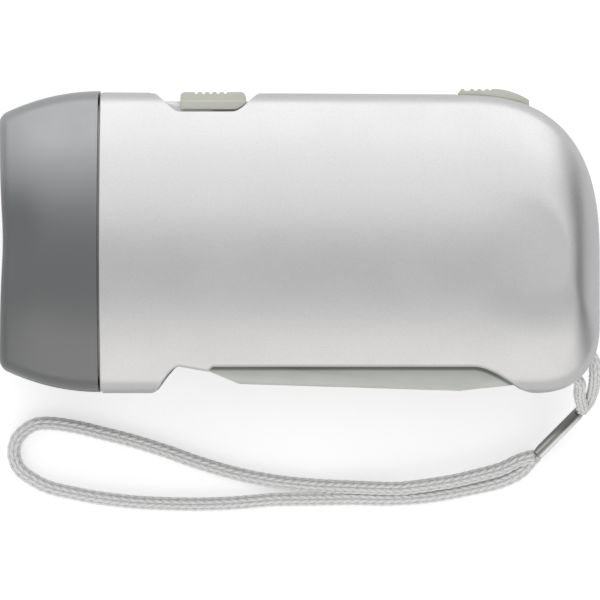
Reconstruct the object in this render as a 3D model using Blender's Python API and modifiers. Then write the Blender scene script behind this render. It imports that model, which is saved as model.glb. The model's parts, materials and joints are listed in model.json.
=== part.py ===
"""Hand-press dynamo torch lying on its side, in metres, with +Z up.

The head points to -X, the thumb sliders face +Y and the squeeze lever faces -Y. The two halves of
the case meet in the plane MID_Z, and heights called "off" are measured from that plane.
"""

import math

import bmesh
import bpy
import numpy as np
from mathutils import Matrix, Vector

MM = 0.001

# Clearances, and how far a cutter runs past what it cuts
GAP = 0.3 * MM
OVERRUN = 1.0 * MM
WELD = 0.001 * MM
ROUND_STEPS = 18
SMALL_ROUND_STEPS = 12
FLANK_POINTS = 3

# Case: a rounded box whose sides are crowned, drawn in its side view
CASE_WALL = 2.0 * MM
CASE_HALF_THICKNESS = 19.0 * MM
CROWN_HALF_THICKNESS = 19.2 * MM
CROWN_EXPONENT = 3.0
SEAM_X = -34.0 * MM
TAIL_X = 51.5 * MM
CASE_TOP_FRONT_Y = 25.75 * MM
CASE_TOP_DROP = 0.35 * MM
CASE_BOTTOM_Y = -26.15 * MM
TOP_CORNER_LENGTH = 24.5 * MM
TOP_CORNER_HEIGHT = 29.35 * MM
TOP_CORNER_EXPONENT = 2.7
BOTTOM_CORNER_LENGTH = 11.5 * MM
BOTTOM_CORNER_HEIGHT = 12.15 * MM
BOTTOM_CORNER_EXPONENT = 2.5
PANEL_HALF_HEIGHT = 8.2 * MM
PANEL_TAIL_INSET = 6.2 * MM
PANEL_CORNER_DROP = 1.0 * MM
LEVEL_SHARES = (0.0, 0.22, 0.4, 0.55, 0.68, 0.79, 0.88, 0.95, 1.0)
MID_Z = CASE_HALF_THICKNESS

# Head
HEAD_FRONT_X = -51.5 * MM
HEAD_REAR_HALF_HEIGHT = 25.95 * MM
HEAD_TAPER = 4.1 * MM
HEAD_TAPER_EXPONENT = 2.1
HEAD_HALF_THICKNESS_SHARE = CASE_HALF_THICKNESS / HEAD_REAR_HALF_HEIGHT
HEAD_WALL = 1.8 * MM
RIM_ROUND = 1.1 * MM
LIP_DEPTH = 2.5 * MM
LIP_WIDTH = 1.5 * MM
LENS_THICKNESS = 1.5 * MM
SEAL_THICKNESS = 0.8 * MM
SEAL_WIDTH = 1.0 * MM
REFLECTOR_WALL = 1.0 * MM
REFLECTOR_LENGTH = 7.5 * MM
LAMP_CIRCLE_RADIUS = 8.2 * MM
CUP_MOUTH_RADIUS = 6.5 * MM
CUP_NECK_RADIUS = 3.2 * MM
CUP_WALL = 0.8 * MM
LAMP_BOARD_THICKNESS = 1.2 * MM
LED_RADIUS = 2.5 * MM
LED_FLANGE_RADIUS = 2.9 * MM
LED_FLANGE_THICKNESS = 1.0 * MM
LED_LENGTH = 8.0 * MM

# Collar of the case, which the head is pushed over
COLLAR_LENGTH = 4.5 * MM
COLLAR_WALL = 1.6 * MM
COLLAR_FLANGE = 2.0 * MM

# Squeeze lever and its pivot
LEVER_HALF_WIDTH = 10.5 * MM
LEVER_WALL = 1.6 * MM
LEVER_FLOOR = 1.8 * MM
LEVER_EDGE_ROUND = 2.4 * MM
PIVOT_X = SEAM_X + 15.0 * MM
PIVOT_Y = CASE_BOTTOM_Y + 8.65 * MM
PIVOT_PIN_RADIUS = 1.5 * MM
PIVOT_HUB_RADIUS = 3.2 * MM
LEVER_NOSE_LENGTH = 4.2 * MM
LEVER_NOSE_DROP = 5.0 * MM
LEVER_HEEL_LENGTH = 8.8 * MM
LEVER_HEEL_DROP = 6.95 * MM
LEVER_LOW_LENGTH = 46.5 * MM
LEVER_LOW_DROP = 8.1 * MM
LEVER_TAIL_LENGTH = 55.8 * MM
LEVER_TAIL_DROP = 7.1 * MM
LEVER_TOP_RISE = 5.0 * MM
LEVER_TOP_LENGTH = 54.6 * MM
LEVER_REAR_RISE = 3.0 * MM
POST_FRONT_LENGTH = 50.6 * MM
POST_WIDTH = 2.5 * MM
POST_RISE = 21.7 * MM
POST_INSET = 0.2 * MM
NOSE_REACH = 0.7 * MM
NOSE_HEIGHT = 1.6 * MM
SLOT_EDGE_Y = CASE_BOTTOM_Y + 4.4 * MM
SLOT_SIDE_GAP = 0.4 * MM
PIN_SOCKET = 2.6 * MM
SLOT_FRONT_X = SEAM_X + 8.4 * MM
SLOT_FRONT_RISE_LENGTH = 5.2 * MM
SLOT_DIP_LENGTH = 4.8 * MM
SLOT_DIP_DEPTH = 0.85 * MM
SLOT_DIP_RETURN = 0.9 * MM
SLOT_REAR_X = 29.5 * MM
SLOT_REAR_LENGTH = 11.5 * MM
SLOT_INNER_TOP_Y = SLOT_EDGE_Y + 1.75 * MM

# Gears
PRESSURE_ANGLE = math.radians(25)
ADDENDUM_SHARE = 0.9
DEDENDUM_SHARE = 1.15
BACKLASH_SHARE = 0.1
PINION_TEETH = 12
SECTOR_MODULE = 0.8 * MM
SECTOR_TEETH = 60
SECTOR_FIRST_TOOTH = -1
SECTOR_LAST_TOOTH = 5
SECTOR_THICKNESS = 2.6 * MM
DRIVE_MODULE = 0.6 * MM
DRIVE_TEETH = 36
SECOND_MODULE = 0.5 * MM
SECOND_TEETH = 40
DRIVE_DIRECTION = math.radians(20)
SECOND_DIRECTION = math.radians(50)
ROTOR_DIRECTION = math.radians(-25)
GEAR_THICKNESS = 2.0 * MM
SECOND_GEAR_THICKNESS = 1.8 * MM
PINION_OVERLAP = 0.3 * MM
AXLE_RADIUS = 1.0 * MM
AXLE_BOSS_RADIUS = 2.4 * MM

# Generator
FLYWHEEL_RADIUS = 7.6 * MM
FLYWHEEL_THICKNESS = 2.0 * MM
MAGNET_RADIUS = 7.0 * MM
MAGNET_BORE_RADIUS = 3.4 * MM
MAGNET_THICKNESS = 3.0 * MM
ROTOR_HUB_RADIUS = 2.9 * MM
CORE_THICKNESS = 3.0 * MM
CORE_ARM_WIDTH = 3.0 * MM
CORE_AIR_GAP = 0.5 * MM
CORE_SHOE_HALF_ANGLE = math.radians(40)
CORE_REACH = 14.1 * MM
BOBBIN_BORE_RADIUS = 2.45 * MM
BOBBIN_TUBE_WALL = 0.6 * MM
BOBBIN_FLANGE_RADIUS = 4.4 * MM
BOBBIN_FLANGE_THICKNESS = 0.8 * MM
WINDING_RADIUS = 4.1 * MM

# Gear plate and what it stands on
PLATE_THICKNESS = 1.5 * MM
PLATE_MARGIN = 3.2 * MM
PLATE_POST_RADIUS = 2.2 * MM
LOW_POST_AHEAD = 5.1 * MM
LOW_POST_RISE = 4.6 * MM
FRONT_POST_AHEAD = 1.1 * MM
FRONT_POST_RISE = 15.2 * MM
TOP_POST_AHEAD = 1.8 * MM
TOP_POST_RISE = 14.7 * MM
PLATE_SCREW_RADIUS = 0.9 * MM
PLATE_SCREW_HEAD_RADIUS = 1.7 * MM
PLATE_SCREW_HEAD_HEIGHT = 1.0 * MM
PLATE_SCREW_LENGTH = 6.0 * MM

# Case screws, driven from the far side
SCREW_RADIUS = 1.1 * MM
SCREW_HEAD_RADIUS = 2.1 * MM
SCREW_HEAD_HEIGHT = 1.4 * MM
SCREW_SEAT_OFF = -9.0 * MM
SCREW_TIP_OFF = 8.0 * MM
SCREW_BOSS_RADIUS = 2.9 * MM
HEAD_SCREW_BACK = 4.5 * MM
TOP_HEAD_SCREW_DROP = 8.0 * MM
LOW_HEAD_SCREW_RISE = 7.2 * MM
TOP_TAIL_SCREW_AHEAD = 6.4 * MM
TOP_TAIL_SCREW_DROP = 12.7 * MM
LOW_TAIL_SCREW_AHEAD = 8.0 * MM
LOW_TAIL_SCREW_RISE = 8.8 * MM
SCREW_POINT = 0.8 * MM
CROSS_LENGTH_SHARE = 0.6
CROSS_WIDTH_SHARE = 0.14
CROSS_DEPTH_SHARE = 0.5

# Power slider and its recess
RECESS_FRONT_X = SEAM_X + 7.9 * MM
RECESS_LENGTH = 19.8 * MM
RECESS_SLOPE = 2.6 * MM
PLATFORM_DEPTH = 1.8 * MM
SCOOP_DEPTH = 3.75 * MM
SCOOP_SLOPE = 6.0 * MM
SCOOP_REAR_EXTRA = 0.8 * MM
PLATFORM_HALF_WIDTH = 6.5 * MM
TRAY_FLOOR = 2.0 * MM
TRAY_MARGIN = 1.4 * MM
SLIDER_LENGTH = 11.1 * MM
SLIDER_FRONT_X = RECESS_FRONT_X + 5.75 * MM
SLIDER_TRAVEL = 2.9 * MM
SLIDER_HEIGHT = 1.3 * MM
SLIDER_BLOCK_WALL = 0.5 * MM
SLIDER_SKIRT_WALL = 1.2 * MM
SLIDER_SKIRT_DROP = 1.7 * MM
SLIDER_LEDGE = 0.25 * MM
SLIDER_LAP = 0.15 * MM
SLIDER_CLEARANCE = 0.4 * MM
SLIDER_ROUND = 0.5 * MM
RIDGE_COUNT = 4
RIDGE_PITCH = 1.25 * MM
RIDGE_DEPTH = 0.35 * MM
RIDGE_FIRST_SHARE = 0.3
STEM_HALF_LENGTH = 2.0 * MM
STEM_HALF_WIDTH = 1.6 * MM
STEM_DROP = 5.35 * MM
KNOB_HALF_LENGTH = 0.8 * MM
KNOB_HALF_WIDTH = 0.9 * MM
KNOB_GRIP = 2.0 * MM
SWITCH_LENGTH = 13.0 * MM
SWITCH_HEIGHT = 4.1 * MM
SWITCH_HALF_WIDTH = 3.0 * MM
SWITCH_WALL = 1.6 * MM

# Lock slider
LOCK_FRONT_X = 27.4 * MM
LOCK_LENGTH = 12.0 * MM
LOCK_TRAVEL = 2.5 * MM
LOCK_HALF_WIDTH = 5.5 * MM
LOCK_TOP_Y = 26.15 * MM
LOCK_BED_DEPTH = 0.8 * MM
LOCK_TIP_DROP = 1.9 * MM
LOCK_WEDGE_SHARE = 0.48
LOCK_WEDGE_EXPONENT = 2.0
LOCK_BAR_LENGTH = 4.2 * MM
LOCK_LEG_OFF = 9.4 * MM
LOCK_STEM_FRONT = 7.2 * MM
LOCK_STEM_LENGTH = 2.0 * MM
LOCK_STEM_HALF_WIDTH = 2.0 * MM
LOCK_BAR_TOP_Y = 18.0 * MM
LOCK_BAR_HEIGHT = 1.8 * MM
LOCK_LEG_WIDTH = 1.8 * MM
LOCK_LEG_THICKNESS = 2.0 * MM
LOCK_HOOK_REACH = 0.7 * MM
LOCK_HOOK_HEIGHT = 1.6 * MM
LOCK_BUMP_LENGTHS = (0.6 * MM, 2.2 * MM, 3.5 * MM, 4.8 * MM)
LOCK_BUMP_RADIUS = 0.42 * MM
LOCK_BUMP_RISE = 0.32 * MM

# Battery, circuit board and wires
BATTERY_RADIUS = 7.75 * MM
BATTERY_HALF_LENGTH = 9.0 * MM
BATTERY_X = SEAM_X + 12.0 * MM
BATTERY_Y = 2.9 * MM
CELL_COUNT = 3
CELL_GROOVE = 0.35 * MM
CRADLE_WALL = 1.2 * MM
CRADLE_HEIGHT = 4.3 * MM
PAD_RADIUS = 3.0 * MM
BOARD_FRONT_X = SEAM_X + 7.0 * MM
BOARD_LENGTH = 24.0 * MM
BOARD_THICKNESS = 1.2 * MM
BOARD_HALF_WIDTH = 10.0 * MM
BOARD_RIB_LENGTH = 2.4 * MM
BOARD_RIB_LIP = 1.2 * MM
CHIP_LENGTH = 4.0 * MM
CHIP_HEIGHT = 1.8 * MM
CHIP_HALF_WIDTH = 3.0 * MM
WIRE_RADIUS = 0.5 * MM

# Return spring of the lever
SPRING_WIRE_RADIUS = 0.3 * MM
SPRING_START_ANGLE = math.radians(-96)
SPRING_SWEEP = math.radians(-1098.6)
SPRING_PITCH = 1.0 * MM
SPRING_POINTS = 40
SPRING_LEVER_LEG = 9.0 * MM
SPRING_CASE_LEG = 10.5 * MM

# Strap eye, crimp and cord
BAR_X = TAIL_X - 2.9 * MM
BAR_Y = CASE_BOTTOM_Y + 5.0 * MM
BAR_RADIUS = 0.9 * MM
BAR_HALF_LENGTH = 7.5 * MM
EYE_RADIUS = 3.85 * MM
EYE_HALF_WIDTH = 5.2 * MM
EYE_BLOCK_MARGIN = 1.8 * MM
CORD_WIDTH = 2.4 * MM
CRIMP_LENGTH = 10.4 * MM
CRIMP_WIDTH = 3.0 * MM
CRIMP_HEIGHT = 1.9 * MM
CRIMP_GROOVE = 0.15 * MM
CRIMP_SECTION_SHARES = (-1.0, -0.55, -0.35, 0.0, 0.35, 0.55, 1.0)
CRIMP_EYE_END = (49.0 * MM, -29.5 * MM, 6.6 * MM)
CRIMP_WRIST_END = (41.8 * MM, -37.0 * MM, 2.5 * MM)

# Routes of the wires (x, y, off) and of the cord (x, y, z)
LAMP_LEAD_ROUTE = (
    (-35.0 * MM, 9.5 * MM, 6.0 * MM),
    (-32.5 * MM, 10.5 * MM, 6.0 * MM),
    (-30.0 * MM, 12.6 * MM, 6.0 * MM),
    (-27.2 * MM, 13.6 * MM, 6.0 * MM),
)
BATTERY_LEAD_ROUTE = (
    (-18.5 * MM, 6.6 * MM, 9.7 * MM),
    (-15.5 * MM, 8.6 * MM, 9.4 * MM),
    (-13.2 * MM, 10.6 * MM, 7.8 * MM),
    (-12.6 * MM, 12.3 * MM, 6.4 * MM),
)
COIL_LEAD_ROUTE = (
    (43.2 * MM, 2.5 * MM, 8.7 * MM),
    (42.6 * MM, 6.3 * MM, 8.3 * MM),
    (40.8 * MM, 10.0 * MM, 4.5 * MM),
    (39.6 * MM, 11.4 * MM, 2.4 * MM),
    (33.5 * MM, 15.2 * MM, 2.0 * MM),
    (28.0 * MM, 16.6 * MM, 2.0 * MM),
    (20.5 * MM, 15.3 * MM, 2.0 * MM),
    (10.0 * MM, 13.8 * MM, 2.0 * MM),
    (2.0 * MM, 13.6 * MM, 2.0 * MM),
    (-2.6 * MM, 13.6 * MM, 2.0 * MM),
)
EYE_LOOP_ROUTE = (
    (49.4 * MM, -29.1 * MM, 6.0 * MM),
    (50.4 * MM, -28.0 * MM, 6.9 * MM),
    (51.0 * MM, -26.0 * MM, 10.8 * MM),
    (51.1 * MM, -23.4 * MM, 16.4 * MM),
    (50.7 * MM, -20.3 * MM, 19.1 * MM),
    (48.6 * MM, -18.8 * MM, 19.2 * MM),
    (46.7 * MM, -19.8 * MM, 19.1 * MM),
    (46.3 * MM, -21.4 * MM, 19.0 * MM),
    (46.9 * MM, -22.9 * MM, 18.3 * MM),
    (48.45 * MM, -24.4 * MM, 16.8 * MM),
    (48.6 * MM, -26.2 * MM, 12.6 * MM),
    (49.1 * MM, -28.0 * MM, 9.4 * MM),
    (49.4 * MM, -28.9 * MM, 8.2 * MM),
    (49.2 * MM, -29.3 * MM, 7.65 * MM),
)
WRIST_LOOP_ROUTE = (
    (41.3 * MM, -37.5 * MM, 3.0 * MM),
    (40.1 * MM, -37.7 * MM, 2.9 * MM),
    (38.2 * MM, -38.3 * MM, 2.8 * MM),
    (35.2 * MM, -39.7 * MM, 2.9 * MM),
    (30.3 * MM, -41.0 * MM, 3.2 * MM),
    (26.3 * MM, -41.9 * MM, 3.3 * MM),
    (19.4 * MM, -42.9 * MM, 3.1 * MM),
    (16.1 * MM, -43.1 * MM, 2.8 * MM),
    (9.4 * MM, -42.9 * MM, 2.0 * MM),
    (2.75 * MM, -42.6 * MM, 1.3 * MM),
    (-4.1 * MM, -41.9 * MM, 1.3 * MM),
    (-10.8 * MM, -40.6 * MM, 1.3 * MM),
    (-17.4 * MM, -38.7 * MM, 1.3 * MM),
    (-23.4 * MM, -36.6 * MM, 1.3 * MM),
    (-29.2 * MM, -34.8 * MM, 1.3 * MM),
    (-35.1 * MM, -33.3 * MM, 1.3 * MM),
    (-39.4 * MM, -32.3 * MM, 1.3 * MM),
    (-43.8 * MM, -31.7 * MM, 1.3 * MM),
    (-46.8 * MM, -32.1 * MM, 1.3 * MM),
    (-49.2 * MM, -34.0 * MM, 1.3 * MM),
    (-50.0 * MM, -35.9 * MM, 1.3 * MM),
    (-50.0 * MM, -37.6 * MM, 1.3 * MM),
    (-49.2 * MM, -39.6 * MM, 1.3 * MM),
    (-47.3 * MM, -41.2 * MM, 1.3 * MM),
    (-44.0 * MM, -42.9 * MM, 1.3 * MM),
    (-39.4 * MM, -44.0 * MM, 1.3 * MM),
    (-35.1 * MM, -44.8 * MM, 1.3 * MM),
    (-29.2 * MM, -45.5 * MM, 1.3 * MM),
    (-23.4 * MM, -45.8 * MM, 1.3 * MM),
    (-17.6 * MM, -45.9 * MM, 1.3 * MM),
    (-11.8 * MM, -45.7 * MM, 1.3 * MM),
    (-6.9 * MM, -45.3 * MM, 1.3 * MM),
    (-4.1 * MM, -45.1 * MM, 1.3 * MM),
    (2.75 * MM, -45.0 * MM, 1.3 * MM),
    (9.4 * MM, -44.9 * MM, 1.3 * MM),
    (16.1 * MM, -45.0 * MM, 1.3 * MM),
    (22.9 * MM, -44.5 * MM, 1.3 * MM),
    (29.6 * MM, -43.3 * MM, 1.3 * MM),
    (35.2 * MM, -42.0 * MM, 1.3 * MM),
    (38.7 * MM, -40.3 * MM, 1.5 * MM),
    (40.6 * MM, -38.3 * MM, 1.5 * MM),
    (41.7 * MM, -37.1 * MM, 1.6 * MM),
)


parts = None
helpers = None


def clear_scene():
    """Empties the scene and makes one collection for the pieces and one for their cutters."""
    global parts, helpers
    for obj in list(bpy.data.objects):
        bpy.data.objects.remove(obj, do_unlink=True)
    parts = bpy.data.collections.new("dynamo_torch")
    helpers = bpy.data.collections.new("cutters")
    bpy.context.scene.collection.children.link(parts)
    bpy.context.scene.collection.children.link(helpers)


def helper(name, bm, faces_out=True):
    """A closed shape that joins or cuts a piece, kept out of the render."""
    if faces_out:
        bmesh.ops.recalc_face_normals(bm, faces=bm.faces)
    mesh = bpy.data.meshes.new(name)
    bm.to_mesh(mesh)
    bm.free()
    obj = bpy.data.objects.new(name, mesh)
    obj.hide_render = True
    obj.display_type = "WIRE"
    helpers.objects.link(obj)
    return obj


def finish(obj, name, colour, roughness, metallic=0.0, alpha=1.0):
    """Turns a shape into a named piece with a material of its own."""
    helpers.objects.unlink(obj)
    parts.objects.link(obj)
    obj.name = name
    obj.data.name = name
    obj.hide_render = False
    obj.display_type = "TEXTURED"
    material = bpy.data.materials.new(name)
    material.use_nodes = True
    shader = material.node_tree.nodes["Principled BSDF"]
    shader.inputs["Base Color"].default_value = (*colour, 1.0)
    shader.inputs["Roughness"].default_value = roughness
    shader.inputs["Metallic"].default_value = metallic
    shader.inputs["Alpha"].default_value = alpha
    obj.data.materials.clear()
    obj.data.materials.append(material)
    if obj.type == "MESH":
        obj.data.shade_smooth()
        obj.data.set_sharp_from_angle(angle=math.radians(35))
    return obj


def combine(obj, others, operation):
    """Adds one exact Boolean for each of the other shapes."""
    for other in others:
        modifier = obj.modifiers.new(operation.lower() + "_" + other.name, "BOOLEAN")
        modifier.object = other
        modifier.operation = operation
        modifier.solver = "EXACT"
    return obj


def join(obj, *others):
    return combine(obj, others, "UNION")


def cut(obj, *others):
    return combine(obj, others, "DIFFERENCE")


def rod(name, place, low, high, radius, steps=ROUND_STEPS, top_radius=None):
    """A round rod along Z at (x, y), from one height above the middle plane to another."""
    bm = bmesh.new()
    bmesh.ops.create_cone(
        bm,
        cap_ends=True,
        segments=steps,
        radius1=radius,
        radius2=radius if top_radius is None else top_radius,
        depth=high - low,
        matrix=Matrix.Translation((place[0], place[1], MID_Z + (low + high) / 2)),
    )
    return helper(name, bm)


def block(name, low, high):
    """A box between two corners, whose heights are measured from the middle plane."""
    low, high = Vector(low), Vector(high)
    middle = (low + high) / 2 + Vector((0, 0, MID_Z))
    bm = bmesh.new()
    bmesh.ops.create_cube(
        bm, size=1, matrix=Matrix.Translation(middle) @ Matrix.Diagonal((*(high - low), 1))
    )
    return helper(name, bm)


def plate(name, outlines, low, high):
    """A flat plate in XY between two heights; outlines after the first are its holes."""
    curve = bpy.data.curves.new(name, "CURVE")
    curve.dimensions = "2D"
    curve.fill_mode = "BOTH"
    curve.extrude = (high - low) / 2
    for outline in outlines:
        spline = curve.splines.new("POLY")
        spline.points.add(len(outline) - 1)
        for point, (x, y) in zip(spline.points, outline):
            point.co = (x, y, 0, 1)
        spline.use_cyclic_u = True
    drawn = bpy.data.objects.new(name, curve)
    drawn.location.z = MID_Z + (low + high) / 2
    helpers.objects.link(drawn)
    bpy.context.view_layer.update()
    mesh = bpy.data.meshes.new_from_object(drawn.evaluated_get(bpy.context.evaluated_depsgraph_get()))
    bm = bmesh.new()
    bm.from_mesh(mesh)
    bm.transform(drawn.matrix_world)
    bmesh.ops.remove_doubles(bm, verts=bm.verts, dist=WELD)
    bpy.data.objects.remove(drawn, do_unlink=True)
    bpy.data.curves.remove(curve)
    bpy.data.meshes.remove(mesh)
    return helper(name, bm)


def turned(name, profile, place, turn=None, steps=ROUND_STEPS, closed=False):
    """A profile of (radius, height) turned about the Z axis of its place.

    The profile runs down the outer side. A closed one is a ring with a bore.
    """
    mesh = bpy.data.meshes.new(name)
    edges = [(i, i + 1) for i in range(len(profile) - 1)]
    if closed:
        edges.append((len(profile) - 1, 0))
    mesh.from_pydata([(radius, 0, height) for radius, height in profile], edges, [])
    obj = bpy.data.objects.new(name, mesh)
    obj.hide_render = True
    obj.display_type = "WIRE"
    helpers.objects.link(obj)
    screw = obj.modifiers.new("turn", "SCREW")
    screw.steps = steps
    screw.render_steps = steps
    screw.use_merge_vertices = True
    screw.merge_threshold = WELD
    obj.location = (place[0], place[1], MID_Z + place[2])
    if turn is not None:
        obj.rotation_euler = turn
    return obj


def tube(name, points, radius, sides_resolution=2):
    """A round wire or cord along points, as a bevelled poly spline."""
    curve = bpy.data.curves.new(name, "CURVE")
    curve.dimensions = "3D"
    curve.bevel_depth = radius
    curve.bevel_resolution = sides_resolution
    curve.use_fill_caps = True
    spline = curve.splines.new("POLY")
    spline.points.add(len(points) - 1)
    for point, place in zip(spline.points, points):
        point.co = (*place, 1)
    obj = bpy.data.objects.new(name, curve)
    helpers.objects.link(obj)
    return obj


def smooth_path(points, count):
    """Points evenly along a Catmull-Rom curve through the route's points."""
    route = np.array(points, float)
    ends = np.vstack([2 * route[0] - route[1], route, 2 * route[-1] - route[-2]])
    fine = []
    for i in range(len(route) - 1):
        a, b, c, d = ends[i : i + 4]
        for t in np.linspace(0, 1, ROUND_STEPS, endpoint=False):
            curve = 2 * b + (c - a) * t + (2 * a - 5 * b + 4 * c - d) * t**2
            fine.append((curve + (3 * b - a - 3 * c + d) * t**3) / 2)
    fine = np.array([*fine, route[-1]])
    along = np.concatenate([[0], np.cumsum(np.linalg.norm(np.diff(fine, axis=0), axis=1))])
    at = np.linspace(0, along[-1], count)
    return np.stack([np.interp(at, along, fine[:, k]) for k in range(fine.shape[1])], axis=1)


def ease(start, end, count):
    """Points of an S-shaped step from one point to another, level at both ends."""
    shares = np.linspace(0, 1, count)
    rise = (1 - np.cos(math.pi * shares)) / 2
    return [
        (start[0] + (end[0] - start[0]) * s, start[1] + (end[1] - start[1]) * r)
        for s, r in zip(shares, rise)
    ]


def rounded(value, exponent):
    """A cosine or sine raised to 2/exponent, which rounds a quarter like a superellipse."""
    return math.copysign(abs(value) ** (2 / exponent), value)


def case_edge_and_panel():
    """The case's outline from the seam's top to its bottom, and where each point meets the flat side."""
    top_start_x = TAIL_X - TOP_CORNER_LENGTH
    top_rear_y = CASE_TOP_FRONT_Y - CASE_TOP_DROP
    corner_y = top_rear_y - TOP_CORNER_HEIGHT
    low_x = TAIL_X - BOTTOM_CORNER_LENGTH
    low_y = CASE_BOTTOM_Y + BOTTOM_CORNER_HEIGHT
    panel_tail_x = TAIL_X - PANEL_TAIL_INSET
    panel_low_y = corner_y - PANEL_CORNER_DROP
    edge, panel = [], []
    for share in np.linspace(0, 1, 7)[:-1]:
        x = SEAM_X + (top_start_x - SEAM_X) * share
        edge.append((x, CASE_TOP_FRONT_Y - CASE_TOP_DROP * share))
        panel.append((x, PANEL_HALF_HEIGHT))
    for angle in np.radians(np.linspace(90, 0, 15)):
        along = rounded(math.cos(angle), TOP_CORNER_EXPONENT)
        up = rounded(math.sin(angle), TOP_CORNER_EXPONENT)
        edge.append((top_start_x + TOP_CORNER_LENGTH * along, corner_y + TOP_CORNER_HEIGHT * up))
        panel.append(
            (
                top_start_x + (panel_tail_x - top_start_x) * along,
                corner_y + (PANEL_HALF_HEIGHT - corner_y) * up,
            )
        )
    for angle in np.radians(np.linspace(0, 90, 11)):
        along = rounded(math.cos(angle), BOTTOM_CORNER_EXPONENT)
        down = rounded(math.sin(angle), BOTTOM_CORNER_EXPONENT)
        edge.append((low_x + BOTTOM_CORNER_LENGTH * along, low_y - BOTTOM_CORNER_HEIGHT * down))
        panel.append(
            (
                low_x + (panel_tail_x - low_x) * along,
                panel_low_y + (-PANEL_HALF_HEIGHT - panel_low_y) * down,
            )
        )
    for share in np.linspace(0, 1, 9)[1:]:
        x = low_x + (SEAM_X - low_x) * share
        edge.append((x, CASE_BOTTOM_Y))
        panel.append((x, -PANEL_HALF_HEIGHT))
    return np.array(edge), np.array(panel)


def crown_share(off):
    """How far the surface at this height has drawn in from the outline towards the flat side, 0 to 1."""
    def fall(height):
        return 1 - (1 - (height / CROWN_HALF_THICKNESS) ** CROWN_EXPONENT) ** (1 / CROWN_EXPONENT)
    return fall(off) / fall(CASE_HALF_THICKNESS)


def case_rows(inset, start_off):
    """Rows of the outer surface of half a case, from the parting plane to the flat side."""
    edge, panel = case_edge_and_panel()
    inward = panel - edge
    inward /= np.linalg.norm(inward, axis=1)[:, None]
    inward[[0, -1], 0] = 0
    rows = []
    for share in LEVEL_SHARES:
        off = start_off + (CASE_HALF_THICKNESS - start_off) * share
        row = edge + (panel - edge) * crown_share(off) + inward * inset
        rows.append([(x, y, off - inset * share) for x, y in row])
    return rows


def case_surface(side, inset=0.0, closed=False):
    """Half of the case's outer surface; a closed one is a solid that runs on past the middle."""
    rows = case_rows(inset, 0 if closed else GAP / 2)
    if closed:
        rows.insert(0, [(x, y, -CASE_HALF_THICKNESS / 2) for x, y, off in rows[0]])
    bm = bmesh.new()
    grid = [[bm.verts.new((x, y, MID_Z + side * off)) for x, y, off in row] for row in rows]
    for low, high in zip(grid, grid[1:]):
        for i in range(len(low) - 1):
            bm.faces.new((low[i], low[i + 1], high[i + 1], high[i]))
    bm.faces.new(grid[-1])
    if closed:
        bm.faces.new(grid[0])
        bm.faces.new([row[0] for row in grid] + [row[-1] for row in reversed(grid)])
    elif side > 0:
        bmesh.ops.reverse_faces(bm, faces=bm.faces)
    return bm


def half_oval(name, loop, side, steps):
    """A closed (x, half height, half thickness) loop carried round half of the head's oval."""
    bm = bmesh.new()
    gap_angle = math.asin((GAP / 2 / CASE_HALF_THICKNESS) ** (CROWN_EXPONENT / 2))
    grid = []
    for angle in np.linspace(gap_angle, math.pi - gap_angle, steps):
        up = rounded(math.cos(angle), CROWN_EXPONENT)
        out = rounded(math.sin(angle), CROWN_EXPONENT)
        grid.append([bm.verts.new((x, tall * up, MID_Z + side * thick * out)) for x, tall, thick in loop])
    count = len(loop)
    for low, high in zip(grid, grid[1:]):
        for i in range(count):
            j = (i + 1) % count
            bm.faces.new((low[i], low[j], high[j], high[i]))
    bm.faces.new(grid[0])
    bm.faces.new(grid[-1][::-1])
    return helper(name, bm)


def oval_ring(name, loop, steps=2 * ROUND_STEPS):
    """A closed (x, half height, half thickness) loop carried all round the head's oval."""
    bm = bmesh.new()
    grid = []
    for angle in np.linspace(0, 2 * math.pi, steps, endpoint=False):
        up = rounded(math.cos(angle), CROWN_EXPONENT)
        out = rounded(math.sin(angle), CROWN_EXPONENT)
        grid.append([bm.verts.new((x, tall * up, MID_Z + thick * out)) for x, tall, thick in loop])
    count = len(loop)
    for k, low in enumerate(grid):
        high = grid[(k + 1) % len(grid)]
        for i in range(count):
            j = (i + 1) % count
            bm.faces.new((low[i], low[j], high[j], high[i]))
    return helper(name, bm)


def oval_disc(name, stations, steps=2 * ROUND_STEPS):
    """A solid disc through (x, half height, half thickness) stations, with flat ends."""
    bm = bmesh.new()
    grid = []
    for x, tall, thick in stations:
        ring = []
        for angle in np.linspace(0, 2 * math.pi, steps, endpoint=False):
            up = rounded(math.cos(angle), CROWN_EXPONENT)
            out = rounded(math.sin(angle), CROWN_EXPONENT)
            ring.append(bm.verts.new((x, tall * up, MID_Z + thick * out)))
        grid.append(ring)
    for low, high in zip(grid, grid[1:]):
        for i in range(steps):
            j = (i + 1) % steps
            bm.faces.new((low[i], low[j], high[j], high[i]))
    bm.faces.new(grid[0])
    bm.faces.new(grid[-1][::-1])
    return helper(name, bm)


def head_size(x, inset):
    """Half height and half thickness of the head's outside at x, drawn in by inset."""
    share = (SEAM_X - x) / (SEAM_X - HEAD_FRONT_X)
    tall = HEAD_REAR_HALF_HEIGHT - HEAD_TAPER * max(share, 0.0) ** HEAD_TAPER_EXPONENT
    return tall - inset, tall * HEAD_HALF_THICKNESS_SHARE - inset


def head_loop(corners):
    """Points (x, half height, half thickness) from (x, inset) corners."""
    return [(x, *head_size(x, inset)) for x, inset in corners]


def on_circle(centre, radius, angle):
    return (centre[0] + radius * math.cos(angle), centre[1] + radius * math.sin(angle))


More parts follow.
